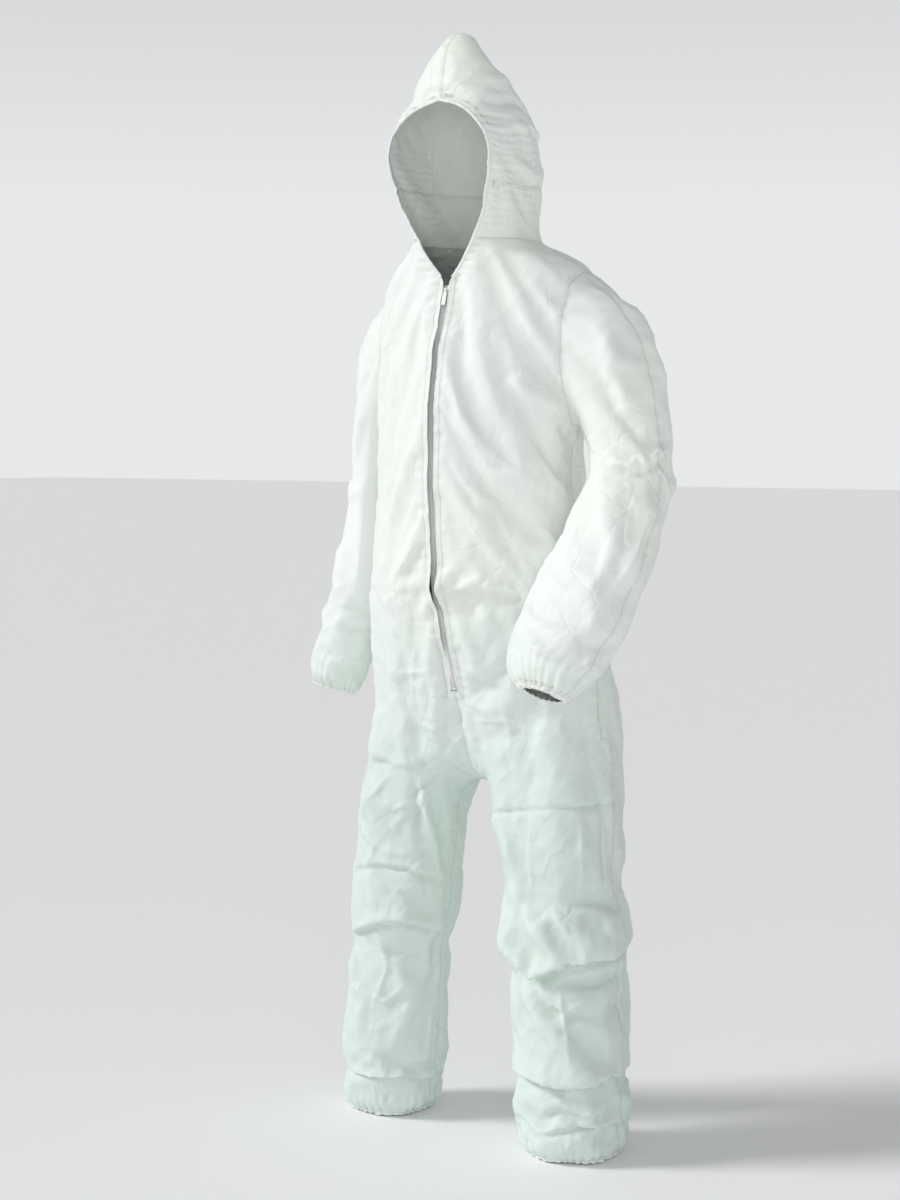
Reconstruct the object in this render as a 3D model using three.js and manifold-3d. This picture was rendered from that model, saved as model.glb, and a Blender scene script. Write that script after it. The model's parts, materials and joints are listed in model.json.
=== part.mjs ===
// A hooded one-piece protective coverall, shaped as it stands on an unseen wearer.
//
// Millimetres, +Z up, the wearer faces -Y and the wearer's left is +X. The origin is the
// middle of the neck base, where the suit hangs on the wearer's shoulders.
//
// The fabric is one hollow shell: a body that runs from the crotch to the peak of the hood,
// two legs and two sleeves. It is cut along its seams into panels, and into sections where it
// has to bend. Elastics lie inside the shell, and a coil zip closes the front.

import * as THREE from "three";
import { mergeVertices } from "three/addons/utils/BufferGeometryUtils.js";
import Module from "manifold-3d";

const wasm = await Module();
wasm.setup();

// ---------------------------------------------------------------- driving dimensions

// Grading: how much longer below the neck base, and how much wider, than the tables below say.
const LENGTH_GRADE = 1;
const GIRTH_GRADE = 1;

const WALL = 2.0; // fabric panels, far thicker than the real cloth so that they make solids
const SEAM_GAP = 0.4; // clearance between neighbouring panels
const ELASTIC_THICK = 1.2;
const ELASTIC_GAP = 0.4; // between an elastic and the panel that it is sewn to

// The body in level slices: height, half width on the left and on the right, front y, back y,
// squareness of the outline. Where the front is null, it follows the zip's arc.
const BODY = [
  [326, 10, 10, -97, -76, 2.0],
  [313, 27, 27, -112, -64, 2.0],
  [284, 46, 48, -128, -48, 2.1],
  [238, 76, 82, -140, -14, 2.2],
  [212, 92, 97, -142, 8, 2.4],
  [190, 100, 106, -158, 22, 2.5],
  [150, 106, 111, -184, 42, 2.5],
  [110, 108, 108, -195, 53, 2.4],
  [60, 104, 99, -180, 57, 2.4],
  [20, 97, 88, -158, 60, 2.3],
  [-10, 109, 95, -141, 67, 2.2],
  [-30, 162, 130, -131, 78, 2.2],
  [-50, 189, 155, -126, 88, 2.2],
  [-74, 196, 168, null, 99, 2.3],
  [-110, 198, 176, null, 112, 2.3],
  [-200, 186, 178, null, 124, 2.3],
  [-300, 171, 171, null, 122, 2.3],
  [-440, 172, 172, null, 104, 2.3],
  [-500, 186, 186, null, 99, 2.3],
  [-565, 196, 196, null, 97, 2.3],
  [-640, 209, 209, null, 112, 2.3],
  [-730, 222, 222, null, 126, 2.3],
  [-800, 227, 227, -88, 123, 2.3],
  [-842, 208, 208, -76, 108, 2.3],
  [-866, 130, 130, -48, 84, 2.2],
  [-872, 50, 50, -8, 44, 2.0],
];

// The zip lies on a circular arc in the plane x = 0, so that its slider can follow it.
const ZIP_RADIUS = 1000 * LENGTH_GRADE ** 2;
const ZIP_FRONT_Y = -168 * GIRTH_GRADE; // the foremost point of the arc
const ZIP_FRONT_Z = -370 * LENGTH_GRADE;
const ZIP_TOP_Z = -74 * LENGTH_GRADE;
const ZIP_BOTTOM_Z = -724 * LENGTH_GRADE;
const ZIP_SLOT = 6.5; // half the gap between the front panels

// A leg in level slices: middle x, middle y, height, half width, half depth, squareness.
const LEFT_LEG = [
  [114, 14, -770, 102, 102, 2.2],
  [121, 12, -830, 108, 108, 2.2],
  [134, 6, -905, 101, 103, 2.2],
  [147, -2, -1010, 95, 96, 2.2],
  [158, -10, -1120, 94, 97, 2.2],
  [168, -17, -1220, 90, 94, 2.2],
  [177, -25, -1330, 88, 91, 2.2],
  [183, -32, -1425, 87, 90, 2.2],
  [184, -34, -1452, 78, 80, 2.2],
  [184, -34, -1463, 62, 64, 2.2],
];
const RIGHT_LEG = [
  [-122, 14, -770, 96, 100, 2.2],
  [-131, 13, -830, 97, 103, 2.2],
  [-147, 9, -905, 93, 96, 2.2],
  [-161, 4, -1010, 89, 88, 2.2],
  [-172, 0, -1120, 88, 88, 2.2],
  [-181, 0, -1220, 84, 86, 2.2],
  [-190, 0, -1330, 83, 84, 2.2],
  [-197, 0, -1425, 82, 82, 2.2],
  [-198, 0, -1452, 73, 73, 2.2],
  [-198, 0, -1463, 58, 58, 2.2],
];

// A sleeve: middle line x, y, z, half height and half depth of the slice across it.
const LEFT_SLEEVE = [
  [92, 0, -120, 86, 66],
  [150, -2, -142, 98, 76],
  [212, -5, -190, 92, 76],
  [250, -9, -255, 76, 68],
  [270, -13, -325, 67, 63],
  [276, -26, -392, 66, 61],
  [268, -78, -475, 78, 58],
  [251, -145, -585, 89, 52],
  [237, -190, -658, 76, 48],
  [234, -206, -690, 58, 42],
  [232, -213, -704, 38, 35],
];
const RIGHT_SLEEVE = [
  [-80, 8, -120, 78, 62],
  [-132, 10, -142, 88, 72],
  [-184, 16, -190, 82, 72],
  [-219, 27, -255, 62, 66],
  [-238, 36, -330, 56, 62],
  [-247, 40, -410, 54, 60],
  [-262, 34, -500, 54, 57],
  [-288, 18, -610, 51, 54],
  [-308, 2, -700, 50, 50],
  [-315, -4, -736, 44, 44],
  [-318, -7, -750, 34, 34],
];
const SLEEVE_SEAM_TURN = 0.16; // the overarm seam, as a share of a turn from the outer side
const SEAM_TURN_GAP = 0.0008; // half the gap at the sleeve's long seams, as a share of a turn

// The face opening's outline, seen from the front: height, half width.
const FACE = [
  [-76, 0],
  [-50, 22],
  [-20, 44],
  [20, 68],
  [60, 84],
  [110, 94],
  [150, 89],
  [180, 68],
  [200, 40],
  [212, 0],
];
const FACE_ELASTIC_WIDTH = 10;
const FACE_HEM = 3; // from the rim to the elastic

// Where the suit bends. Each section between two heights, or two distances down a sleeve.
const HOOD_SEAM_Z = 80;
const COLLAR_Z = -4 * LENGTH_GRADE;
const SIDE_SEAM_Y = -12 * GIRTH_GRADE;
const LEG_LINE_SLOPE = (0.37 * LENGTH_GRADE) / GIRTH_GRADE; // rise of the leg line per unit of x, from the crotch outwards
const LEG_LINE_Z = -876 * LENGTH_GRADE;
const THIGH_Z = -965 * LENGTH_GRADE;
const KNEE_TOP_Z = -1062 * LENGTH_GRADE;
const KNEE_BOTTOM_Z = -1200 * LENGTH_GRADE;
const ARMHOLE_REACH = 240 * LENGTH_GRADE; // from the first cut of a sleeve to past its shoulder
const SLEEVE_CUTS = { left: [0.3, 0.41, 0.6], right: [0.34, 0.42, 0.6] };
const WAIST_Z = -566 * LENGTH_GRADE;
const WAIST_ELASTIC_WIDTH = 18;
const CUFF_ELASTIC_WIDTH = 8;
const ANKLE_ELASTIC_WIDTH = 9;

// The zip's own parts, across the arc (x) and outwards from it.
const TAPE_INNER = 0.7; // half the gap between the tapes, where the slider's post runs
const TAPE_OUTER = 14;
const TAPE_THICK = 0.7;
const COIL_OUTER = 3.0;
const COIL_THICK = 1.9;
const ZIP_DEPTH = WALL + 0.8; // from the arc inwards to the tape's outer face
const SLIDER_HALF_WIDTH = 5;
const SLIDER_LENGTH = 11;
const SLIDER_PLATE = 1.1;
const SLIDER_CLEARANCE = 0.3;
const SLIDER_POST = 0.35; // half thickness
const FLANGE_INNER = COIL_OUTER + SLIDER_CLEARANCE;
const PIN_RADIUS = 0.7;
const PIN_HOLE = 1.1;
const PIN_HALF_LENGTH = 3.2;
const PIN_HEIGHT = 2.5; // above the slider's front plate
const PULL_LENGTH = 26;
const PULL_HALF_WIDTH = 3.6;
const PULL_THICK = 1.4;
const PULL_EYE_HALF_WIDTH = 1.9;
const STOP_LENGTH = 3.2;
const STOP_PROUD = 1; // how much wider than the coils a stop is
const STOP_RISE = 4; // from the tapes' lower end to the bottom stop
const STOP_INSET = 1; // from the front panels' top edge to the top stops
const SLIDER_TOP_Z = ZIP_TOP_Z - STOP_INSET - STOP_LENGTH - SLIDER_LENGTH / 2 - 0.6;

// Mesh density.
const BODY_SIDES = 24;
const RING_SPACING = 70;
const LIMB_SIDES = 14;
const SLEEVE_RINGS = 11;
const ZIP_STEPS = 16;
const FAR = 4000;

// ---------------------------------------------------------------- solids

const v3 = (x, y, z) => new THREE.Vector3(x, y, z);

// A closed geometry as a manifold solid.
function solid(geometry) {
  const bare = geometry.index ? geometry.toNonIndexed() : geometry.clone();
  bare.deleteAttribute("normal");
  bare.deleteAttribute("uv");
  const merged = mergeVertices(bare, 1e-4);
  return new wasm.Manifold(
    new wasm.Mesh({
      numProp: 3,
      vertProperties: merged.attributes.position.array,
      triVerts: new Uint32Array(merged.index.array),
    }),
  );
}

// A closed solid through a list of rings with the same number of points, capped at both ends.
function loft(rings) {
  const sides = rings[0].length;
  const middle = (ring) =>
    ring.reduce((sum, p) => sum.add(p), v3(0, 0, 0)).divideScalar(sides);
  const points = rings.flat();
  const first = points.push(middle(rings[0])) - 1;
  const last = points.push(middle(rings.at(-1))) - 1;
  const faces = [];
  for (let i = 0; i < sides; i++) {
    const j = (i + 1) % sides;
    faces.push(first, j, i);
    for (let r = 0; r + 1 < rings.length; r++) {
      const here = r * sides;
      const next = here + sides;
      faces.push(here + i, here + j, next + j, here + i, next + j, next + i);
    }
    const end = (rings.length - 1) * sides;
    faces.push(last, end + i, end + j);
  }
  const geometry = new THREE.BufferGeometry().setFromPoints(points);
  geometry.setIndex(faces);
  const made = solid(geometry);
  if (made.volume() > 0) return made;
  geometry.setIndex(faces.reverse());
  return solid(geometry);
}

// Everything on the side of a plane that its normal points to.
function beyond(point, normal) {
  const box = new THREE.BoxGeometry(FAR, FAR, FAR);
  const turn = new THREE.Quaternion().setFromUnitVectors(v3(0, 0, 1), normal.clone().normalize());
  const middle = normal.clone().normalize().multiplyScalar(FAR / 2).add(point);
  box.applyMatrix4(new THREE.Matrix4().compose(middle, turn, v3(1, 1, 1)));
  return solid(box);
}
const above = (z) => beyond(v3(0, 0, z), v3(0, 0, 1));
const below = (z) => beyond(v3(0, 0, z), v3(0, 0, -1));
const leftOf = (x) => beyond(v3(x, 0, 0), v3(1, 0, 0));
const rightOf = (x) => beyond(v3(x, 0, 0), v3(-1, 0, 0));
const inFrontOf = (y) => beyond(v3(0, y, 0), v3(0, -1, 0));
const behind = (y) => beyond(v3(0, y, 0), v3(0, 1, 0));
const common = (...parts) => parts.reduce((a, b) => a.intersect(b));
const HALF_GAP = SEAM_GAP / 2;

function box(x0, x1, y0, y1, z0, z1) {
  const geometry = new THREE.BoxGeometry(x1 - x0, y1 - y0, z1 - z0);
  geometry.translate((x0 + x1) / 2, (y0 + y1) / 2, (z0 + z1) / 2);
  return solid(geometry);
}

// Rows of numbers read as smooth curves: sample(rows)(t) gives the row at t, from 0 to 1.
function sample(rows) {
  const columns = rows[0].map(
    (_, k) =>
      new THREE.CatmullRomCurve3(
        rows.map((row) => v3(row[k], 0, 0)),
        false,
        "catmullrom",
        0.5,
      ),
  );
  return (t) => columns.map((curve) => curve.getPoint(t).x);
}

// ---------------------------------------------------------------- shapes of the garment

const sides = ["left", "right"];
const sign = { left: 1, right: -1 };

// The tables graded: heights below the neck base with the length, everything across with the girth.
const longer = (z) => (z < 0 ? z * LENGTH_GRADE : z);
const wider = (value) => (value === null ? null : value * GIRTH_GRADE);
const bodyRows = BODY.map(([z, left, right, front, back, n]) => {
  const across = [left, right, front, back].map(wider);
  return [longer(z), ...across, n];
});
const gradedLimb = (rows) =>
  rows.map(([x, y, z, half, depth, ...rest]) => [
    wider(x),
    wider(y),
    longer(z),
    wider(half),
    wider(depth),
    ...rest,
  ]);
const legRows = { left: gradedLimb(LEFT_LEG), right: gradedLimb(RIGHT_LEG) };
const sleeveRows = { left: gradedLimb(LEFT_SLEEVE), right: gradedLimb(RIGHT_SLEEVE) };
const faceRows = FACE.map(([z, half]) => [longer(z), wider(half)]);

const squared = (value, squareness) =>
  Math.sign(value) * Math.abs(value) ** (2 / squareness);

const frontArc = (z) =>
  ZIP_FRONT_Y +
  ZIP_RADIUS -
  Math.sqrt(ZIP_RADIUS ** 2 - (z - ZIP_FRONT_Z) ** 2);

// Where the body's rings stand along its stations: close enough to follow the arc.
function bodyRingPlaces() {
  const last = bodyRows.length - 1;
  const places = [];
  for (let i = 0; i < last; i++) {
    const count = Math.ceil((bodyRows[i][0] - bodyRows[i + 1][0]) / RING_SPACING);
    for (let k = 0; k < count; k++) places.push((i + k / count) / last);
  }
  return [...places, 1];
}

// The body grown by an offset. Its foremost facet is level with the arc.
function bodySolid(offset) {
  const rows = bodyRows.map((row) => row.map((value) => value ?? frontArc(row[0])));
  const arcEnd = bodyRows.findLast((row) => row[3] === null)[0];
  const at = sample(rows);
  const rings = bodyRingPlaces().map((place) => {
    const [z, left, right, front, back, n] = at(place);
    const foremost = z <= ZIP_TOP_Z && z >= arcEnd ? frontArc(z) : front;
    const middle = (foremost + back) / 2;
    const crest = squared(Math.cos(Math.PI / BODY_SIDES), n);
    const depth = Math.max((back - foremost) / 2 + offset, 3) / crest;
    const level = z + (place === 0 ? offset : 0) - (place === 1 ? offset : 0);
    const ring = [];
    for (let k = 0; k < BODY_SIDES; k++) {
      const turn = (2 * Math.PI * (k + 0.5)) / BODY_SIDES;
      const half = Math.max((Math.cos(turn) > 0 ? left : right) + offset, 3);
      const x = half * squared(Math.cos(turn), n);
      ring.push(v3(x, middle + depth * squared(Math.sin(turn), n), level));
    }
    return ring;
  });
  return loft(rings);
}

// The rings of a leg, grown by an offset, and carried past the hem by an overrun.
function legRings(side, offset, overrun) {
  const rings = legRows[side].map(([x, y, z, half, depth, n]) => {
    const ring = [];
    for (let k = 0; k < LIMB_SIDES; k++) {
      const turn = (2 * Math.PI * (k + 0.5)) / LIMB_SIDES;
      ring.push(
        v3(
          x + (half + offset) * squared(Math.cos(turn), n),
          y + (depth + offset) * squared(Math.sin(turn), n),
          z,
        ),
      );
    }
    return ring;
  });
  if (overrun) rings.push(rings.at(-1).map((p) => p.clone().add(v3(0, 0, -overrun))));
  return rings;
}

// A frame across a sleeve's middle line: out from the body, and forwards.
function sleeveFrame(side, t) {
  const at = sample(sleeveRows[side]);
  const here = at(t);
  const before = at(Math.max(0, t - 0.01));
  const after = at(Math.min(1, t + 0.01));
  const centre = v3(here[0], here[1], here[2]);
  const along = v3(after[0] - before[0], after[1] - before[1], after[2] - before[2]).normalize();
  const forward = v3(0, -1, 0).addScaledVector(along, along.y).normalize();
  const outward = new THREE.Vector3().crossVectors(along, forward).normalize();
  if (outward.x * (side === "left" ? 1 : -1) < 0) outward.negate();
  return { centre, along, outward, forward, half: here[3], depth: here[4] };
}

// A point on a sleeve's outline: turn 0 is the outer side, a quarter turn is the front.
function sleevePoint(frame, turn, offset) {
  return frame.centre
    .clone()
    .addScaledVector(frame.outward, (frame.half + offset) * Math.cos(turn))
    .addScaledVector(frame.forward, (frame.depth + offset) * Math.sin(turn));
}

function sleeveRings(side, offset, overrun, from = 0, to = 1) {
  const rings = [];
  for (let i = 0; i <= SLEEVE_RINGS; i++) {
    const frame = sleeveFrame(side, i / SLEEVE_RINGS);
    const ring = [];
    if (to - from < 1) ring.push(frame.centre.clone());
    const count = to - from < 1 ? LIMB_SIDES / 2 : LIMB_SIDES - 1;
    for (let k = 0; k <= count; k++) {
      const share = to - from < 1 ? k / count : k / (count + 1);
      ring.push(sleevePoint(frame, 2 * Math.PI * (from + (to - from) * share), offset));
    }
    rings.push(ring);
  }
  if (overrun) {
    const { along } = sleeveFrame(side, 1);
    rings.push(rings.at(-1).map((p) => p.clone().addScaledVector(along, overrun)));
  }
  return rings;
}

// The face opening as a bar along y, grown by an offset.
function faceBar(offset) {
  const outline = sample(faceRows);
  const steps = 24;
  const shape = new THREE.Shape();
  const low = faceRows[0][0];
  const high = faceRows.at(-1)[0];
  const middle = (low + high) / 2;
  const grow = 1 + offset / ((high - low) / 2);
  const point = (t, side) => {
    const [z, half] = outline(t);
    const width = Math.max(0, half) + (half > 1 ? offset : 0);
    return [side * width, middle + (z - middle) * grow];
  };
  shape.moveTo(...point(0, 1));
  for (let i = 1; i <= steps; i++) shape.lineTo(...point(i / steps, 1));
  for (let i = steps - 1; i > 0; i--) shape.lineTo(...point(i / steps, -1));
  shape.closePath();
  const bar = new THREE.ExtrudeGeometry(shape, { depth: 500, bevelEnabled: false });
  bar.rotateX(Math.PI / 2);
  return solid(bar);
}

// ---------------------------------------------------------------- the shell and its panels

const bodyOuter = bodySolid(0);
const bodyInner = bodySolid(-WALL);
const legOuter = {};
const legInner = {};
const sleeveShell = {};
let trunk = bodyOuter;
let hollow = bodyInner;
for (const side of sides) {
  legOuter[side] = loft(legRings(side, 0, 0));
  legInner[side] = loft(legRings(side, -WALL, 10));
  trunk = trunk.add(legOuter[side]);
  hollow = hollow.add(legInner[side]);
}
let trunkShell = trunk.subtract(hollow).subtract(faceBar(0));
for (const side of sides) {
  const outer = loft(sleeveRings(side, 0, 0));
  const inner = loft(sleeveRings(side, -WALL, 10));
  sleeveShell[side] = outer.subtract(inner).subtract(bodySolid(SEAM_GAP));
  trunkShell = trunkShell.subtract(loft(sleeveRings(side, SEAM_GAP, 0)));
}

const nodes = new THREE.Group();
const fabric = { color: 0xe9f1ee, roughness: 0.8, metalness: 0 };
const elastic = { color: 0xf1f2ea, roughness: 0.9, metalness: 0 };
const tape = { color: 0xeceee4, roughness: 0.85, metalness: 0 };
const nylon = { color: 0xe6e9df, roughness: 0.45, metalness: 0 };

function addNode(name, made, look) {
  const mesh = made.getMesh();
  const points = new Float32Array(mesh.numVert * 3);
  for (let i = 0; i < mesh.numVert; i++) {
    points.set(mesh.vertProperties.subarray(i * mesh.numProp, i * mesh.numProp + 3), i * 3);
  }
  const geometry = new THREE.BufferGeometry();
  geometry.setAttribute("position", new THREE.BufferAttribute(points, 3));
  geometry.setIndex(new THREE.BufferAttribute(mesh.triVerts, 1));
  geometry.computeVertexNormals();
  const node = new THREE.Mesh(geometry, new THREE.MeshStandardMaterial(look));
  node.name = name;
  nodes.add(node);
}

// The leg line slopes up and out from the crotch; the leg's own sections lie past it.
function pastLegLine(side, gap) {
  const down = v3(sign[side] * LEG_LINE_SLOPE, 0, -1);
  return beyond(v3(0, 0, LEG_LINE_Z - gap), down);
}
function beforeLegLine(side, gap) {
  const up = v3(-sign[side] * LEG_LINE_SLOPE, 0, 1);
  return beyond(v3(0, 0, LEG_LINE_Z + gap), up);
}
const onSide = (side, gap) => (side === "left" ? leftOf(gap) : rightOf(-gap));

function addTrunk() {
  for (const side of sides) {
    const half = common(
      trunkShell,
      below(COLLAR_Z - HALF_GAP),
      beforeLegLine(side, HALF_GAP),
    );
    addNode(
      `front_${side}_panel`,
      common(half, onSide(side, ZIP_SLOT), inFrontOf(SIDE_SEAM_Y - HALF_GAP)),
      fabric,
    );
    addNode(
      `back_${side}_panel`,
      common(half, onSide(side, HALF_GAP), behind(SIDE_SEAM_Y + HALF_GAP)),
      fabric,
    );
  }
  addNode(
    "collar",
    common(trunkShell, above(COLLAR_Z + HALF_GAP), below(HOOD_SEAM_Z - HALF_GAP)),
    fabric,
  );
}

function addHood() {
  const hood = common(trunkShell, above(HOOD_SEAM_Z + HALF_GAP));
  for (const side of sides) {
    addNode(`hood_${side}_panel`, common(hood, onSide(side, HALF_GAP)), fabric);
  }
  const lining = bodySolid(-WALL - ELASTIC_GAP).subtract(
    bodySolid(-WALL - ELASTIC_GAP - ELASTIC_THICK),
  );
  const band = faceBar(FACE_HEM + FACE_ELASTIC_WIDTH).subtract(faceBar(FACE_HEM));
  addNode(
    "face_elastic",
    common(lining, band, above(HOOD_SEAM_Z + 2), inFrontOf(-40)),
    elastic,
  );
}

function addWaistElastic() {
  const ring = bodySolid(-WALL - ELASTIC_GAP).subtract(
    bodySolid(-WALL - ELASTIC_GAP - ELASTIC_THICK),
  );
  const half = WAIST_ELASTIC_WIDTH / 2;
  const gap = TAPE_OUTER + 2;
  addNode(
    "waist_elastic",
    common(ring, above(WAIST_Z - half), below(WAIST_Z + half)).subtract(
      box(-gap, gap, -FAR / 2, 0, -FAR / 2, 0),
    ),
    elastic,
  );
}

function addLegs() {
  for (const side of sides) {
    const leg = common(trunkShell, onSide(side, HALF_GAP), pastLegLine(side, HALF_GAP));
    addNode(`${side}_hip_section`, common(leg, above(THIGH_Z + HALF_GAP)), fabric);
    addNode(
      `${side}_knee_section`,
      common(leg, below(KNEE_TOP_Z - HALF_GAP), above(KNEE_BOTTOM_Z + HALF_GAP)),
      fabric,
    );
    const [, topY, topZ] = legRows[side][0];
    const [, hemY, hemZ] = legRows[side].at(-1);
    const top = v3(0, topY, topZ);
    const lean = v3(0, hemY - topY, hemZ - topZ);
    const back = new THREE.Vector3().crossVectors(lean, v3(1, 0, 0)).normalize();
    if (back.y < 0) back.negate();
    const halves = {
      front: beyond(top.clone().addScaledVector(back, -HALF_GAP), back.clone().negate()),
      back: beyond(top.clone().addScaledVector(back, HALF_GAP), back),
    };
    for (const [face, half] of Object.entries(halves)) {
      addNode(
        `${side}_thigh_${face}`,
        common(leg, half, below(THIGH_Z - HALF_GAP), above(KNEE_TOP_Z + HALF_GAP)),
        fabric,
      );
      addNode(
        `${side}_shin_${face}`,
        common(leg, half, below(KNEE_BOTTOM_Z - HALF_GAP)),
        fabric,
      );
    }
    const outer = loft(legRings(side, -WALL - ELASTIC_GAP, 0));
    const inner = loft(legRings(side, -WALL - ELASTIC_GAP - ELASTIC_THICK, 10));
    const hemTop = hemZ + 4 + ANKLE_ELASTIC_WIDTH;
    addNode(
      `${side}_ankle_elastic`,
      common(outer.subtract(inner), below(hemTop), above(hemZ + 2)),
      elastic,
    );
  }
}

function addSleeves() {
  for (const side of sides) {
    const cut = (t, gap, way) => {
      const frame = sleeveFrame(side, t);
      const at = frame.centre.clone().addScaledVector(frame.along, gap * way);
      return beyond(at, frame.along.clone().multiplyScalar(way));
    };
    const [upper, elbow, lower] = SLEEVE_CUTS[side];
    const near = sphere(sleeveFrame(side, upper).centre, ARMHOLE_REACH);
    const shell = sleeveShell[side];
    addNode(
      `${side}_armhole_section`,
      common(shell, near, cut(upper, HALF_GAP, -1)),
      fabric,
    );
    addNode(
      `${side}_elbow_section`,
      common(shell, cut(elbow, HALF_GAP, 1), cut(lower, HALF_GAP, -1)),
      fabric,
    );
    const wedge = (grow) =>
      loft(sleeveRings(side, 30, 20, SLEEVE_SEAM_TURN - grow, SLEEVE_SEAM_TURN + 0.5 + grow));
    const pieces = {
      front: shell.intersect(wedge(-SEAM_TURN_GAP)),
      back: shell.subtract(wedge(SEAM_TURN_GAP)),
    };
    for (const [face, piece] of Object.entries(pieces)) {
      addNode(
        `${side}_upper_sleeve_${face}`,
        common(piece, cut(upper, HALF_GAP, 1), cut(elbow, HALF_GAP, -1)),
        fabric,
      );
      addNode(
        `${side}_forearm_${face}`,
        common(piece, cut(lower, HALF_GAP, 1)),
        fabric,
      );
    }
    const outer = loft(sleeveRings(side, -WALL - ELASTIC_GAP, 0));
    const inner = loft(sleeveRings(side, -WALL - ELASTIC_GAP - ELASTIC_THICK, 10));
    const end = sleeveFrame(side, 1);
    const from = end.centre.clone().addScaledVector(end.along, -CUFF_ELASTIC_WIDTH - 2);
    const to = end.centre.clone().addScaledVector(end.along, -2);
    addNode(
      `${side}_wrist_elastic`,
      common(
        outer.subtract(inner),
        beyond(from, end.along),
        beyond(to, end.along.clone().negate()),
        sphere(end.centre, 90),
      ),
      elastic,
    );
  }
}

function sphere(centre, radius) {
  const ball = new THREE.SphereGeometry(radius, 24, 16);
  ball.translate(centre.x, centre.y, centre.z);
  return solid(ball);
}

// ---------------------------------------------------------------- the zip

// A strip that follows the zip's arc: across it in x, and between two depths inside it.
function strip(x0, x1, depth0, depth1, zTop, zBottom, steps = ZIP_STEPS) {
  const rings = [];
  for (let i = 0; i <= steps; i++) {
    const z = zTop + ((zBottom - zTop) * i) / steps;
    const turn = Math.asin((z - ZIP_FRONT_Z) / ZIP_RADIUS);
    const at = (depth, x) =>
      v3(
        x,
        ZIP_FRONT_Y + ZIP_RADIUS - (ZIP_RADIUS - depth) * Math.cos(turn),
        ZIP_FRONT_Z + (ZIP_RADIUS - depth) * Math.sin(turn),
      );
    rings.push([at(depth0, x0), at(depth0, x1), at(depth1, x1), at(depth1, x0)]);
  }
  return loft(rings);
}

const TAPE_FRONT = ZIP_DEPTH;
const TAPE_BACK = ZIP_DEPTH + TAPE_THICK;
const COIL_FRONT = TAPE_FRONT - SEAM_GAP - COIL_THICK;
const PLATE_BACK = COIL_FRONT - SLIDER_CLEARANCE; // the back of the slider's front plate
const PLATE_FRONT = PLATE_BACK - SLIDER_PLATE;
const REAR_FRONT = TAPE_BACK + SLIDER_CLEARANCE;

// Moves a piece drawn at the foremost point of the arc to the slider's place near its top.
function toSliderPlace(made) {
  const turn = Math.asin((SLIDER_TOP_Z - ZIP_FRONT_Z) / ZIP_RADIUS);
  const axisY = ZIP_FRONT_Y + ZIP_RADIUS;
  return made
    .translate([0, -axisY, -ZIP_FRONT_Z])
    .rotate([(-turn * 180) / Math.PI, 0, 0])
    .translate([0, axisY, ZIP_FRONT_Z]);
}

// A bar along x, drawn at the foremost point of the arc.
function crossBar(radius, halfLength, depth, z) {
  const bar = new THREE.CylinderGeometry(radius, radius, 2 * halfLength, 16);
  bar.rotateZ(Math.PI / 2);
  bar.translate(0, ZIP_FRONT_Y + depth, z);
  return solid(bar);
}

// A block at the foremost point of the arc, between two depths inside it.
const block = (halfX, depth0, depth1, z0, z1, x = 0) =>
  box(x - halfX, x + halfX, ZIP_FRONT_Y + depth0, ZIP_FRONT_Y + depth1, z0, z1);

const PIN_Z = ZIP_FRONT_Z + SLIDER_LENGTH / 2 - 4;
const PIN_DEPTH = PLATE_FRONT - PIN_HEIGHT;

function addZip() {
  for (const side of sides) {
    const s = sign[side];
    const across = (inner, outer) => (s > 0 ? [inner, outer] : [-outer, -inner]);
    addNode(
      `zip_tape_${side}`,
      strip(...across(TAPE_INNER, TAPE_OUTER), TAPE_FRONT, TAPE_BACK, ZIP_TOP_Z - 1, ZIP_BOTTOM_Z),
      tape,
    );
    const coilTop = ZIP_TOP_Z - STOP_INSET - STOP_LENGTH - SEAM_GAP;
    const coilBottom = ZIP_BOTTOM_Z + STOP_RISE + STOP_LENGTH + SEAM_GAP;
    addNode(
      `zip_coil_${side}`,
      strip(
        ...across(TAPE_INNER, COIL_OUTER),
        COIL_FRONT,
        COIL_FRONT + COIL_THICK,
        coilTop,
        coilBottom,
      ),
      nylon,
    );
    addNode(
      `zip_top_stop_${side}`,
      strip(
        ...across(TAPE_INNER, COIL_OUTER + STOP_PROUD),
        COIL_FRONT - STOP_PROUD / 3,
        COIL_FRONT + COIL_THICK,
        ZIP_TOP_Z - STOP_INSET,
        ZIP_TOP_Z - STOP_INSET - STOP_LENGTH,
        2,
      ),
      nylon,
    );
  }
  const stopTop = ZIP_BOTTOM_Z + STOP_RISE + STOP_LENGTH;
  addNode(
    "zip_bottom_stop",
    strip(
      -COIL_OUTER - STOP_PROUD,
      COIL_OUTER + STOP_PROUD,
      COIL_FRONT - STOP_PROUD / 3,
      COIL_FRONT + COIL_THICK,
      stopTop,
      ZIP_BOTTOM_Z + STOP_RISE,
      2,
    ),
    nylon,
  );
  addSlider();
  addPull();
}

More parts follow.
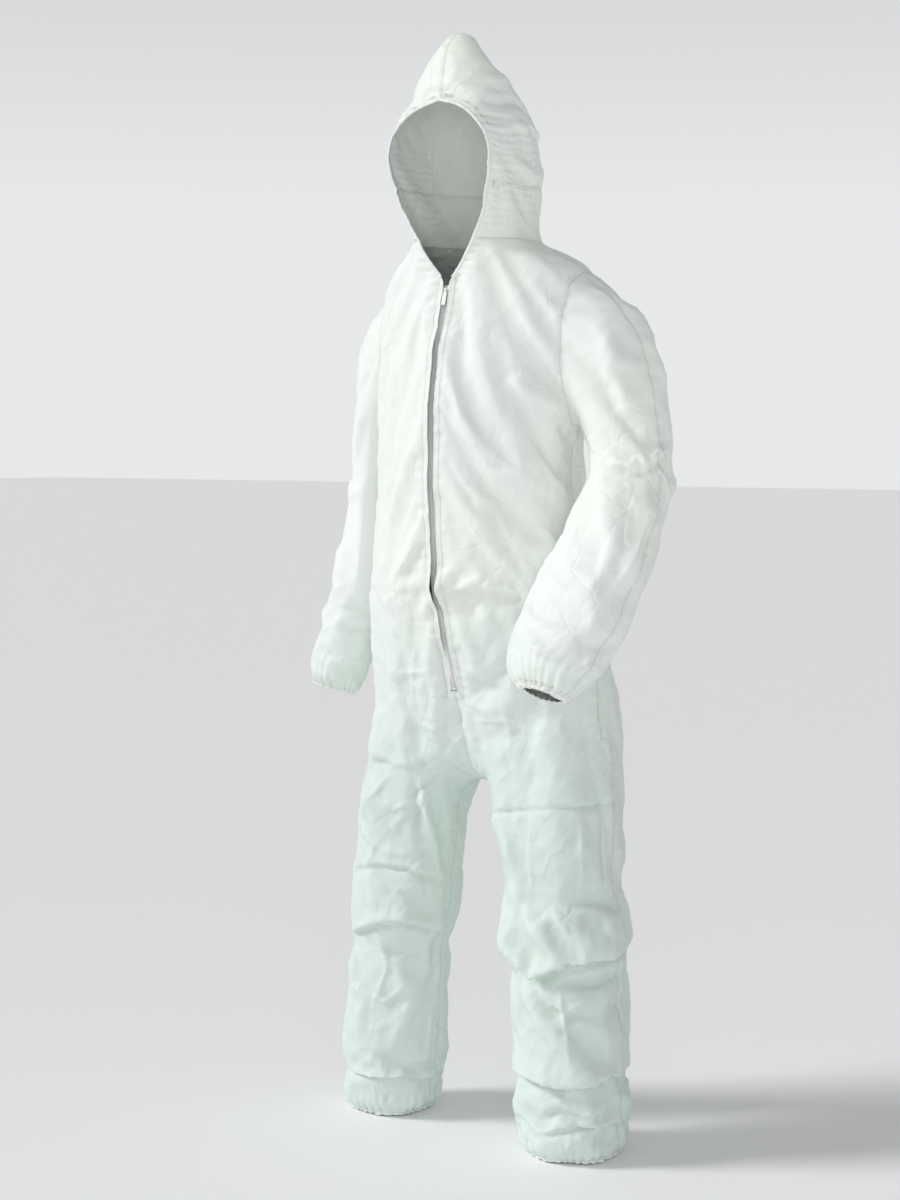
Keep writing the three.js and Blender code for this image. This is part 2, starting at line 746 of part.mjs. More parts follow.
function addSlider() {
  const top = ZIP_FRONT_Z + SLIDER_LENGTH / 2;
  const bottom = ZIP_FRONT_Z - SLIDER_LENGTH / 2;
  const parts = [
    block(SLIDER_HALF_WIDTH, PLATE_FRONT, PLATE_BACK, bottom, top),
    block(SLIDER_HALF_WIDTH, REAR_FRONT, REAR_FRONT + SLIDER_PLATE, bottom, top),
    block(SLIDER_POST, PLATE_FRONT, REAR_FRONT + SLIDER_PLATE, top - 4, top),
  ];
  const flange = (SLIDER_HALF_WIDTH - FLANGE_INNER) / 2;
  for (const s of [1, -1]) {
    const x = s * (SLIDER_HALF_WIDTH - flange);
    parts.push(block(flange, PLATE_FRONT, TAPE_FRONT - SLIDER_CLEARANCE, bottom, top, x));
    const lug = (PIN_HALF_LENGTH - PULL_EYE_HALF_WIDTH - SLIDER_CLEARANCE) / 2;
    parts.push(
      block(
        lug,
        PIN_DEPTH - PIN_RADIUS,
        PLATE_BACK,
        PIN_Z - PIN_RADIUS,
        PIN_Z + PIN_RADIUS,
        s * (PIN_HALF_LENGTH - lug),
      ),
    );
  }
  parts.push(crossBar(PIN_RADIUS, PIN_HALF_LENGTH - 0.1, PIN_DEPTH, PIN_Z));
  addNode("zip_slider", toSliderPlace(parts.reduce((a, b) => a.add(b))), nylon);
}

function addPull() {
  const eyeRadius = PIN_HOLE + 0.9;
  const pull = crossBar(eyeRadius, PULL_EYE_HALF_WIDTH, PIN_DEPTH, PIN_Z)
    .add(
      block(
        PULL_EYE_HALF_WIDTH,
        PIN_DEPTH - PULL_THICK / 2,
        PIN_DEPTH + PULL_THICK / 2,
        PIN_Z - 7,
        PIN_Z,
      ),
    )
    .add(
      block(
        PULL_HALF_WIDTH,
        PIN_DEPTH - PULL_THICK / 2,
        PIN_DEPTH + PULL_THICK / 2,
        PIN_Z - PULL_LENGTH,
        PIN_Z - 6,
      ),
    )
    .subtract(crossBar(PIN_HOLE, PIN_HALF_LENGTH + 2, PIN_DEPTH, PIN_Z));
  addNode("zip_pull", toSliderPlace(pull), nylon);
}

addTrunk();
addHood();
addWaistElastic();
addLegs();
addSleeves();
addZip();

export default nodes;
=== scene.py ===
# Looks of the hooded coverall: one cloth surface, simulated, cut at its seams and hung on the
# bodies of the CAD frame, with its zip, bindings and elastics.

import bpy
import bmesh
import json
import math
import numpy as np
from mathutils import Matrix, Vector

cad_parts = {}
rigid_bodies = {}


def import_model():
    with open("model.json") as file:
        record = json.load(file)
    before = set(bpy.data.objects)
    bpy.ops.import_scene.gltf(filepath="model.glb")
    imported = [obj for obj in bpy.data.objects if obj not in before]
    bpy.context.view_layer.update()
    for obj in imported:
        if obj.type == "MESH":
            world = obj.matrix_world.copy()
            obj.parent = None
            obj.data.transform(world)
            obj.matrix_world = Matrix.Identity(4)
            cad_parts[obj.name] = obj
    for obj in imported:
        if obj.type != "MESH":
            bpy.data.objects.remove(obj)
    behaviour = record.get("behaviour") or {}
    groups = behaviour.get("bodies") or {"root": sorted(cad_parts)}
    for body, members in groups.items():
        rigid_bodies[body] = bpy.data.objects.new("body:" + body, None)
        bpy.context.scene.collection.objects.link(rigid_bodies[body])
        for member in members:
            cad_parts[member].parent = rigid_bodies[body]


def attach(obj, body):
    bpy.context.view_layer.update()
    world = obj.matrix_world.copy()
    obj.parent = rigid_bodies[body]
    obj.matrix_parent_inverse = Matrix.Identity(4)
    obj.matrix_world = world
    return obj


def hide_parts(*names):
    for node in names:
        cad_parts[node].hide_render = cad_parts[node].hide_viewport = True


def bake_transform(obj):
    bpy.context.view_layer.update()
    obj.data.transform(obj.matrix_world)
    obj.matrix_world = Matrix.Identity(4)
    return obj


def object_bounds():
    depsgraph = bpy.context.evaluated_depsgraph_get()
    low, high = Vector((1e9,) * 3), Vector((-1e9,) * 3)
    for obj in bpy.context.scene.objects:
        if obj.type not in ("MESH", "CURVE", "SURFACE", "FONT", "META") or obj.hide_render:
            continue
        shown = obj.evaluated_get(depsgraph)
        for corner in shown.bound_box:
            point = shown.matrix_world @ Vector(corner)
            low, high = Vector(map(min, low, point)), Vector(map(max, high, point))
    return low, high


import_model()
CAD_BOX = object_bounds()
MM = 0.001

# ------------------------------------------------------------------ shapes, in millimetres

# The body in level slices: height, half width on the left and on the right, front y, back y,
# squareness of the outline. Where the front is None, it follows the zip's arc.
BODY = [
    [326, 10, 10, -97, -76, 2.0],
    [313, 27, 27, -112, -64, 2.0],
    [284, 46, 48, -128, -48, 2.1],
    [238, 76, 82, -140, -14, 2.2],
    [212, 92, 97, -142, 8, 2.4],
    [190, 100, 106, -158, 22, 2.5],
    [150, 106, 111, -184, 42, 2.5],
    [110, 108, 108, -195, 53, 2.4],
    [60, 104, 99, -180, 57, 2.4],
    [20, 97, 88, -158, 60, 2.3],
    [-10, 109, 95, -141, 67, 2.2],
    [-30, 162, 130, -131, 78, 2.2],
    [-50, 189, 155, -126, 88, 2.2],
    [-74, 196, 168, None, 99, 2.3],
    [-110, 198, 176, None, 112, 2.3],
    [-200, 186, 178, None, 124, 2.3],
    [-300, 171, 171, None, 122, 2.3],
    [-440, 172, 172, None, 104, 2.3],
    [-500, 186, 186, None, 99, 2.3],
    [-565, 196, 196, None, 97, 2.3],
    [-640, 209, 209, None, 112, 2.3],
    [-730, 222, 222, None, 126, 2.3],
    [-800, 227, 227, -88, 123, 2.3],
    [-842, 208, 208, -76, 108, 2.3],
    [-866, 130, 130, -48, 84, 2.2],
    [-872, 50, 50, -8, 44, 2.0],
]
ZIP_RADIUS, ZIP_FRONT_Y, ZIP_FRONT_Z = 1000, -168, -370
ZIP_TOP_Z, ZIP_BOTTOM_Z = -74, -724

# A leg: middle x, middle y, height, half width, half depth, squareness.
LEGS = {
    "left": [
        [114, 14, -770, 102, 102, 2.2],
        [121, 12, -830, 108, 108, 2.2],
        [134, 6, -905, 101, 103, 2.2],
        [147, -2, -1010, 95, 96, 2.2],
        [158, -10, -1120, 94, 97, 2.2],
        [168, -17, -1220, 90, 94, 2.2],
        [177, -25, -1330, 88, 91, 2.2],
        [183, -32, -1425, 87, 90, 2.2],
        [184, -34, -1452, 78, 80, 2.2],
        [184, -34, -1463, 62, 64, 2.2],
    ],
    "right": [
        [-122, 14, -770, 96, 100, 2.2],
        [-131, 13, -830, 97, 103, 2.2],
        [-147, 9, -905, 93, 96, 2.2],
        [-161, 4, -1010, 89, 88, 2.2],
        [-172, 0, -1120, 88, 88, 2.2],
        [-181, 0, -1220, 84, 86, 2.2],
        [-190, 0, -1330, 83, 84, 2.2],
        [-197, 0, -1425, 82, 82, 2.2],
        [-198, 0, -1452, 73, 73, 2.2],
        [-198, 0, -1463, 58, 58, 2.2],
    ],
}

# A sleeve: middle line x, y, z, half height and half depth of the slice across it.
SLEEVES = {
    "left": [
        [92, 0, -120, 86, 66],
        [150, -2, -142, 98, 76],
        [212, -5, -190, 92, 76],
        [250, -9, -255, 76, 68],
        [270, -13, -325, 67, 63],
        [276, -26, -392, 66, 61],
        [268, -78, -475, 78, 58],
        [251, -145, -585, 89, 52],
        [237, -190, -658, 76, 48],
        [234, -206, -690, 58, 42],
        [232, -213, -704, 38, 35],
    ],
    "right": [
        [-80, 8, -120, 78, 62],
        [-132, 10, -142, 88, 72],
        [-184, 16, -190, 82, 72],
        [-219, 27, -255, 62, 66],
        [-238, 36, -330, 56, 62],
        [-247, 40, -410, 54, 60],
        [-262, 34, -500, 54, 57],
        [-288, 18, -610, 51, 54],
        [-308, 2, -700, 50, 50],
        [-315, -4, -736, 44, 44],
        [-318, -7, -750, 34, 34],
    ],
}

# The face opening's outline, seen from the front: height, half width.
FACE = [
    [-76, 0], [-50, 22], [-20, 44], [20, 68], [60, 84],
    [110, 94], [150, 89], [180, 68], [200, 40], [212, 0],
]

SIGN = {"left": 1, "right": -1}
WAIST_Z = -566
HEM_Z = -1.463  # in metres
VOXEL = 0.0075
ELBOW_BLEND = {"left": (-0.385, -0.490), "right": (-0.385, -0.490)}
# While the surface is made, the low part of the left sleeve is held this much further from the body,
# so that the two stay apart.
SLEEVE_CLEAR = {"left": 0.016, "right": 0.0}
SPLIT_Z = -0.36  # below this the sleeves hang clear of the body, so which one a point is on is kept


def smooth(a, b, x):
    """0 below a, 1 above b, and a smooth step between them."""
    t = np.clip((np.asarray(x, float) - a) / (b - a), 0, 1)
    return t * t * (3 - 2 * t)


def bump(x, width):
    """A smooth bell of height 1 around 0."""
    return np.exp(-(np.asarray(x, float) / width) ** 2)


def squared(value, n):
    return math.copysign(abs(value) ** (2 / n), value)


def station(rows, t):
    """The row at t, from 0 to 1, on a smooth curve through the rows."""
    last = len(rows) - 1
    i = min(int(t * last), last - 1)
    f = t * last - i
    p = [np.array(rows[k], float) for k in (max(i - 1, 0), i, i + 1, min(i + 2, last))]
    if i == 0:
        p[0] = 2 * p[1] - p[2]
    if i == last - 1:
        p[3] = 2 * p[2] - p[1]
    a, b = (p[2] - p[0]) / 2, (p[3] - p[1]) / 2
    d = p[2] - p[1]
    return p[1] + a * f + (3 * d - 2 * a - b) * f**2 + (a + b - 2 * d) * f**3


def zip_arc(z):
    """The front y of the zip's arc, in millimetres."""
    return ZIP_FRONT_Y + ZIP_RADIUS - math.sqrt(ZIP_RADIUS**2 - (z - ZIP_FRONT_Z) ** 2)


def body_row(t):
    rows = [[r[0], r[1], r[2], zip_arc(r[0]) if r[3] is None else r[3], r[4], r[5]] for r in BODY]
    row = station(rows, t)
    if ZIP_BOTTOM_Z <= row[0] <= ZIP_TOP_Z:
        row[3] = zip_arc(row[0])
    return row


def sleeve_frame(side, t):
    """Middle, along, outward and forward of a slice across a sleeve, and its two halves."""
    here, before, after = (station(SLEEVES[side], x) for x in (t, max(0, t - 0.01), min(1, t + 0.01)))
    along = Vector(after[:3] - before[:3]).normalized()
    forward = (Vector((0, -1, 0)) + along * along.y).normalized()
    outward = along.cross(forward).normalized()
    if outward.x * SIGN[side] < 0:
        outward.negate()
    return Vector(here[:3]), along, outward, forward, here[3], here[4]


# ------------------------------------------------------------------ meshes

def loft(name, rings):
    """A closed mesh through rings of millimetre points."""
    sides = len(rings[0])
    points = [Vector(p) * MM for ring in rings for p in ring]
    faces = []
    for r in range(len(rings) - 1):
        for i in range(sides):
            j = (i + 1) % sides
            a = r * sides
            faces.append((a + i, a + j, a + sides + j, a + sides + i))
    faces.append(tuple(range(sides)))
    faces.append(tuple(range((len(rings) - 1) * sides, len(rings) * sides)))
    mesh = bpy.data.meshes.new(name)
    mesh.from_pydata(points, [], faces)
    bm = bmesh.new()
    bm.from_mesh(mesh)
    bmesh.ops.recalc_face_normals(bm, faces=bm.faces)
    bm.to_mesh(mesh)
    bm.free()
    return mesh


def body_rings(count=150, sides=72):
    rings = []
    for i in range(count + 1):
        z, left, right, front, back, n = body_row(i / count)
        middle, depth = (front + back) / 2, (back - front) / 2
        ring = []
        for k in range(sides):
            turn = 2 * math.pi * k / sides
            x = (left if math.cos(turn) > 0 else right) * squared(math.cos(turn), n)
            ring.append((x, middle + depth * squared(math.sin(turn), n), z))
        rings.append(ring)
    return rings


def leg_rings(side, count=60, sides=48):
    rings = []
    for i in range(count + 1):
        x, y, z, half, depth, n = station(LEGS[side], i / count)
        ring = []
        for k in range(sides):
            turn = 2 * math.pi * k / sides
            ring.append((x + half * squared(math.cos(turn), n), y + depth * squared(math.sin(turn), n), z))
        rings.append(ring)
    return rings


def held_off(side, z):
    """How far aside a sleeve is held at a level while the surface is made."""
    return SIGN[side] * SLEEVE_CLEAR[side] * smooth(-0.38, -0.45, z)


def sleeve_rings(side, count=60, sides=48):
    rings = []
    for i in range(count + 1):
        middle, _, outward, forward, half, depth = sleeve_frame(side, i / count)
        turns = [2 * math.pi * k / sides for k in range(sides)]
        ring = [middle + outward * half * math.cos(a) + forward * depth * math.sin(a) for a in turns]
        rings.append([(p.x + held_off(side, p.z * MM) / MM, p.y, p.z) for p in ring])
    return rings


def activate(obj):
    bpy.ops.object.select_all(action="DESELECT")
    obj.select_set(True)
    bpy.context.view_layer.objects.active = obj


def coords(mesh):
    co = np.empty(len(mesh.vertices) * 3)
    mesh.vertices.foreach_get("co", co)
    return co.reshape(-1, 3)


def normals(mesh):
    no = np.empty(len(mesh.vertices) * 3)
    mesh.vertices.foreach_get("normal", no)
    return no.reshape(-1, 3)


def set_coords(mesh, co):
    mesh.vertices.foreach_set("co", np.ascontiguousarray(co).ravel())
    mesh.update()


def edges_of(mesh):
    e = np.empty(len(mesh.edges) * 2, np.int64)
    mesh.edges.foreach_get("vertices", e)
    return e.reshape(-1, 2)


def relax(co, edges, rounds, share=0.5, weight=None):
    """Moves each point towards the middle of its neighbours."""
    ends, others = edges.ravel(), edges[:, ::-1].ravel()
    count = np.bincount(ends, minlength=len(co))[:, None]
    for _ in range(rounds):
        total = np.stack([np.bincount(ends, co[others, k], len(co)) for k in range(3)], 1)
        step = (total / count - co) * share
        co = co + (step if weight is None else step * weight[:, None])
    return co


def make_base():
    """The whole suit as one closed surface of even small faces."""
    parts = [loft("body", body_rings())]
    for side in SIGN:
        parts.append(loft(side + "_leg", leg_rings(side)))
        parts.append(loft(side + "_sleeve", sleeve_rings(side)))
    bm = bmesh.new()
    for part in parts:
        bm.from_mesh(part)
    mesh = bpy.data.meshes.new("suit")
    bm.to_mesh(mesh)
    bm.free()
    suit = bpy.data.objects.new("suit", mesh)
    bpy.context.collection.objects.link(suit)
    activate(suit)
    mod = suit.modifiers.new("remesh", "REMESH")
    mod.mode = "VOXEL"
    mod.voxel_size = VOXEL
    bpy.ops.object.modifier_apply(modifier=mod.name)
    mesh = suit.data
    edges = edges_of(mesh)
    co = coords(mesh)
    body = body_gap(co)
    for side in SIGN:
        aside = co - np.outer(held_off(side, co[:, 2]), (1, 0, 0))
        near = (SIGN[side] * co[:, 0] > 0.12) & (co[:, 2] < -0.38) & (co[:, 2] > -0.80)
        far = on_sleeve(side, aside)[1]
        mine = near & (far < 1.3) & ((np.abs(far - 1) < np.abs(body - 1)) | (body > 1.2))
        co[mine] = aside[mine]
    # A slack cloth rounds off the corners where sleeves and legs join the body.
    x, z = np.abs(co[:, 0]), co[:, 2]
    joins = bump(z + 0.17, 0.17) * smooth(0.12, 0.16, x) + bump(z + 0.86, 0.06)
    co = relax(co, edges, 4)
    co = relax(co, edges, 30, weight=np.clip(joins, 0, 1))
    set_coords(mesh, co)
    return suit



# ------------------------------------------------------------------ where a point is on the suit

def by_level(rows):
    """A curve's rows as arrays, lowest level first, for looking up by level."""
    rows = np.array(sorted(rows, key=lambda r: r[0]))
    return lambda z: [np.interp(z / MM, rows[:, 0], rows[:, k]) for k in range(1, rows.shape[1])]


def body_level(t):
    z, left, right, front, back, n = body_row(t)
    return [z, left, right, (front + back) / 2, (back - front) / 2, n]


def leg_level(side, t):
    x, y, z, half, depth, n = station(LEGS[side], t)
    return [z, x, y, half, depth, n]


BODY_AT = by_level([body_level(i / 400) for i in range(401)])
LEG_AT = {side: by_level([leg_level(side, i / 300) for i in range(301)]) for side in SIGN}


def body_gap(co):
    """How far out each point is from the body's middle, where 1 is the body's outline."""
    left, right, y0, depth, n = BODY_AT(co[:, 2])
    x, y = co[:, 0] / MM, co[:, 1] / MM - y0
    half = np.where(x > 0, left, right)
    return (np.abs(x / half) ** n + np.abs(y / depth) ** n) ** (1 / n)


SLEEVE_STATIONS = {side: [sleeve_frame(side, i / 160) for i in range(161)] for side in SIGN}
SLEEVE_LENGTH = {}
for side, frames in SLEEVE_STATIONS.items():
    steps = [(b[0] - a[0]).length for a, b in zip(frames, frames[1:])]
    SLEEVE_LENGTH[side] = np.concatenate([[0], np.cumsum(steps)]) * MM


def on_sleeve(side, co):
    """For each point: which slice it is nearest, how far out it is, and its turn, 0 outside, 90 in front."""
    middle = np.array([f[0][:] for f in SLEEVE_STATIONS[side]]) * MM
    along = np.array([f[1][:] for f in SLEEVE_STATIONS[side]])
    outward = np.array([f[2][:] for f in SLEEVE_STATIONS[side]])
    forward = np.array([f[3][:] for f in SLEEVE_STATIONS[side]])
    half = np.array([f[4] for f in SLEEVE_STATIONS[side]]) * MM
    depth = np.array([f[5] for f in SLEEVE_STATIONS[side]]) * MM
    best = np.zeros(len(co), int)
    for start in range(0, len(co), 4000):
        part = co[start:start + 4000, None, :] - middle[None]
        off = (part * along[None]).sum(2)
        far = np.linalg.norm(part, axis=2)
        best[start:start + 4000] = np.argmin(far + 2 * np.abs(off), axis=1)
    v = co - middle[best]
    a, b = (v * outward[best]).sum(1), (v * forward[best]).sum(1)
    far = np.hypot(a / half[best], b / depth[best])
    return best, far, np.degrees(np.arctan2(b, a))


class Place:
    """Where each point of the suit is: its limb, its way along it and its turn around it."""

    def __init__(self, co, arms=None):
        x, y, z = co.T
        self.co, self.z = co, z
        self.limb = np.zeros(len(co), int)
        self.turn = np.degrees(np.arctan2(x, -(y - 0.0)))
        self.along = -z
        body = body_gap(co) if arms is None else None
        for number, side in ((1, "left"), (2, "right")):
            sign = SIGN[side]
            near = (sign * x > 0.12) & (z < 0.0) & (z > -0.80)
            index = np.nonzero(near)[0]
            best, far, turn = on_sleeve(side, co[index])
            plane = 0.187 + 0.048 * (z[index] + 0.1) if side == "left" else np.full(len(index), 0.1765)
            beyond = (sign * x[index] > plane) & (z[index] > SPLIT_Z)
            if arms is None:
                clear = (np.abs(far - 1) < np.abs(body[index] - 1)) | (body[index] > 1.2)
                lower = (z[index] <= SPLIT_Z) & (far < 1.3) & clear
            else:
                lower = (z[index] <= SPLIT_Z) & (arms[index] > 0.5)
            mine = index[beyond | lower]
            pick = beyond | lower
            self.limb[mine] = number
            self.along[mine] = SLEEVE_LENGTH[side][best[pick]]
            self.turn[mine] = turn[pick]
        for number, side in ((3, "left"), (4, "right")):
            sign = SIGN[side]
            d = np.array([sign * 0.347, 0, -0.938])
            mine = (co @ d > 0.822) & (sign * x > 0)
            self.limb[mine] = number
            x0, y0 = LEG_AT[side](z[mine])[:2]
            self.turn[mine] = np.degrees(np.arctan2(x[mine] - x0 * MM, y0 * MM - y[mine]))



# ------------------------------------------------------------------ the cloth

def slack(co, place):
    """The cloth's own shape before it hangs: longer and wider than its space, most where it bunches."""
    out = co.copy()
    z = co[:, 2]
    # Body and legs: extra length, summed up from the top down.
    levels = np.linspace(-1.47, 0.33, 400)
    extra = (0.020 + 0.07 * bump(levels + 0.575, 0.055) + 0.07 * bump(levels + 0.79, 0.07)
             + 0.10 * bump(levels + 1.12, 0.11) + 0.13 * bump(levels + 1.36, 0.09))
    gained = np.concatenate([[0], np.cumsum(extra[:-1] * np.diff(levels))])
    gained -= np.interp(0.0, levels, gained)
    trunk = (place.limb == 0) | (place.limb > 2)
    out[trunk, 2] += np.interp(z[trunk], levels, gained)
    girth = 1.025 + 0.05 * bump(z + 0.57, 0.05) + 0.03 * bump(z + 0.80, 0.08)
    body = place.limb == 0
    for axis in (0, 1):
        out[body, axis] *= girth[body]
    for number, side in ((3, "left"), (4, "right")):
        leg = place.limb == number
        x0, y0 = LEG_AT[side](z[leg])[:2]
        wide = 1.035 + 0.06 * bump(z[leg] + 1.46, 0.05)
        out[leg, 0] = x0 * MM + (co[leg, 0] - x0 * MM) * wide
        out[leg, 1] = y0 * MM + (co[leg, 1] - y0 * MM) * wide
    # Sleeves: extra length along their middle lines, and extra girth.
    for number, side in ((1, "left"), (2, "right")):
        arm = place.limb == number
        frames = SLEEVE_STATIONS[side]
        middle = np.array([f[0][:] for f in frames]) * MM
        along = np.array([f[1][:] for f in frames])
        s = SLEEVE_LENGTH[side]
        total = s[-1]
        more = 0.03 + 0.10 * bump(s - 0.46 * total, 0.09) + 0.12 * bump(s - 0.93 * total, 0.07)
        shift = np.concatenate([[0], np.cumsum(more[:-1] * np.diff(s))])
        at = place.along[arm]
        centre = np.stack([np.interp(at, s, middle[:, k]) for k in range(3)], 1)
        ahead = np.stack([np.interp(at, s, along[:, k]) for k in range(3)], 1)
        wide = (1.035 + 0.08 * bump(at - total, 0.05))[:, None]
        out[arm] = centre + (co[arm] - centre) * wide + ahead * np.interp(at, s, shift)[:, None]
    return out


def holds(co, place):
    """How firmly each point is held: fast at the elastics and the zip, loosely elsewhere."""
    x, y, z = co.T
    hold = np.full(len(co), 0.04)
    hold = np.maximum(hold, 0.5 * bump(z + 1.463, 0.012) * (place.limb > 2))
    for number, side in ((1, "left"), (2, "right")):
        arm = place.limb == number
        total = SLEEVE_LENGTH[side][-1]
        hold[arm] = np.maximum(hold[arm], 0.6 * bump(place.along[arm] - total, 0.012))
    front = (y < 0) & (place.limb == 0)
    hold = np.maximum(hold, 0.9 * bump(x, 0.016) * front * smooth(-0.745, -0.72, z) * smooth(0.0, -0.05, z))
    hold = np.maximum(hold, 0.35 * bump(z + 0.566, 0.010) * (place.limb == 0))
    hold = np.maximum(hold, 0.10 * smooth(-0.16, -0.02, z) * (place.limb == 0))
    half = np.interp(z / MM, [r[0] for r in FACE], [r[1] for r in FACE]) * MM
    rim = (y < -0.02) & (z > -0.08) & (z < 0.215)
    hold = np.maximum(hold, 0.9 * rim * smooth(0.012, -0.004, np.abs(x) - half))
    return np.clip(hold, 0, 0.95)


def ripple(co, size, seed):
    """Smooth uneven waves of about that size, from -1 to 1: a sum of waves in scattered directions."""
    rng = np.random.default_rng(seed)
    total = np.zeros(len(co))
    for _ in range(9):
        way = rng.normal(size=3)
        way /= np.linalg.norm(way)
        total += np.sin(co @ way * (2 * math.pi / size) * rng.uniform(0.7, 1.4) + rng.uniform(0, 6.3))
    return total / 4.5


def hang(suit, place, frames=14):
    """Lets the cloth buckle and settle from its slack shape, then keeps the result."""
    mesh = suit.data
    co = coords(mesh)
    first = co + normals(mesh) * (0.003 * ripple(co, 0.07, 5) + 0.0015 * ripple(co, 0.035, 9))[:, None]
    set_coords(mesh, first)
    suit.shape_key_add(name="Basis")
    key = suit.shape_key_add(name="slack")
    key.data.foreach_set("co", slack(co, place).ravel())
    group = suit.vertex_groups.new(name="held")
    hold = np.round(holds(co, place), 3)
    for value in np.unique(hold):
        group.add(np.nonzero(hold == value)[0].tolist(), float(value), "REPLACE")
    mod = suit.modifiers.new("cloth", "CLOTH")
    cloth = mod.settings
    cloth.quality = 4
    cloth.mass = 0.15
    cloth.tension_stiffness = 30
    cloth.compression_stiffness = 30
    cloth.shear_stiffness = 8
    cloth.bending_stiffness = 0.25
    cloth.tension_damping = 6
    cloth.compression_damping = 6
    cloth.shear_damping = 6
    cloth.bending_damping = 0.6
    cloth.air_damping = 2
    cloth.vertex_group_mass = "held"
    cloth.pin_stiffness = 1.0
    cloth.rest_shape_key = key
    cloth.effector_weights.gravity = 0.12
    mod.collision_settings.use_collision = False
    mod.collision_settings.use_self_collision = False
    scene = bpy.context.scene
    scene.frame_start, scene.frame_end = 1, frames
    mod.point_cache.frame_start, mod.point_cache.frame_end = 1, frames
    for number in range(1, frames + 1):
        scene.frame_set(number)
    shown = suit.evaluated_get(bpy.context.evaluated_depsgraph_get())
    settled = coords(shown.data)
    scene.frame_set(1)
    suit.modifiers.remove(mod)
    suit.shape_key_clear()
    return co, settled


def capped(move, most):
    """The same moves, with the long ones eased down to the most a point may go."""
    far = np.linalg.norm(move, axis=1, keepdims=True)
    return move * (most * np.tanh(far / most) / np.maximum(far, 1e-9))



def fold(place, limb, path, width, height, kind="soft", drop=0.0):
    """One fold along a path of (across, up) millimetres on a limb: how far out and down it moves each point.

    Across is x on the body, and the turn in degrees from the front on a leg, or from the outside on a
    sleeve. Up is the level, or the way along a sleeve. A fold fades out at its ends.
    """
    out, down = np.zeros(len(place.co)), np.zeros(len(place.co))
    if limb == 7:
        index = np.nonzero((place.limb == 0) & (place.co[:, 0] > 0.03))[0]
        u, v, scale = place.co[index, 1] / MM, place.co[index, 2] / MM, 1.0
    elif limb in (5, 6):
        front = place.co[:, 1] < -0.012 if limb == 5 else place.co[:, 1] >= -0.012
        index = np.nonzero((place.limb == 0) & front)[0]
        u, v = place.co[index, 0] / MM, place.co[index, 2] / MM
        scale = 1.0
    elif limb in (3, 4):
        index = np.nonzero(place.limb == limb)[0]
        scale = math.pi / 180 * 92
        u, v = place.turn[index] * scale, place.co[index, 2] / MM
    else:
        index = np.nonzero(place.limb == limb)[0]
        scale = math.pi / 180 * 66
        u, v = place.turn[index] * scale, place.along[index] / MM
    points = np.array([(a * scale, b) for a, b in path], float)
    lengths = np.linalg.norm(np.diff(points, axis=0), axis=1)
    total, start = lengths.sum(), 0.0
    best, sign, way = np.full(len(index), 1e9), np.ones(len(index)), np.zeros(len(index))
    for a, b, long in zip(points, points[1:], lengths):
        t = np.clip(((u - a[0]) * (b[0] - a[0]) + (v - a[1]) * (b[1] - a[1])) / long**2, 0, 1)
        du, dv = u - a[0] - t * (b[0] - a[0]), v - a[1] - t * (b[1] - a[1])
        far = np.hypot(du, dv)
        nearer = far < best
        best = np.where(nearer, far, best)
        side = np.sign((b[0] - a[0]) * dv - (b[1] - a[1]) * du)
        sign, way = np.where(nearer, side, sign), np.where(nearer, start + t * long, way)
        start += long
    fade = smooth(-0.02, 0.30, way / total) * smooth(1.02, 0.70, way / total)
    d = best * sign
    if kind == "soft":
        shape = np.exp(-((d / width) ** 2))
    elif kind == "crisp":
        shape = np.exp(-best / width) + 0.35 * np.exp(-((d / width / 1.6) ** 2))
    else:
        # A lip: it swells on the left of the path, and turns in sharply just past it.
        shape = np.where(d > 0, np.exp(-((d / width) ** 2)), np.exp(-((d / (0.22 * width)) ** 2)))
        shape = shape - 0.75 * np.exp(-(((d + 0.36 * width) / (0.22 * width)) ** 2))
    out[index] = height * MM * shape * fade
    down[index] = drop * MM * np.exp(-((d / width) ** 2)) * (d > 0) * fade
    return out, down


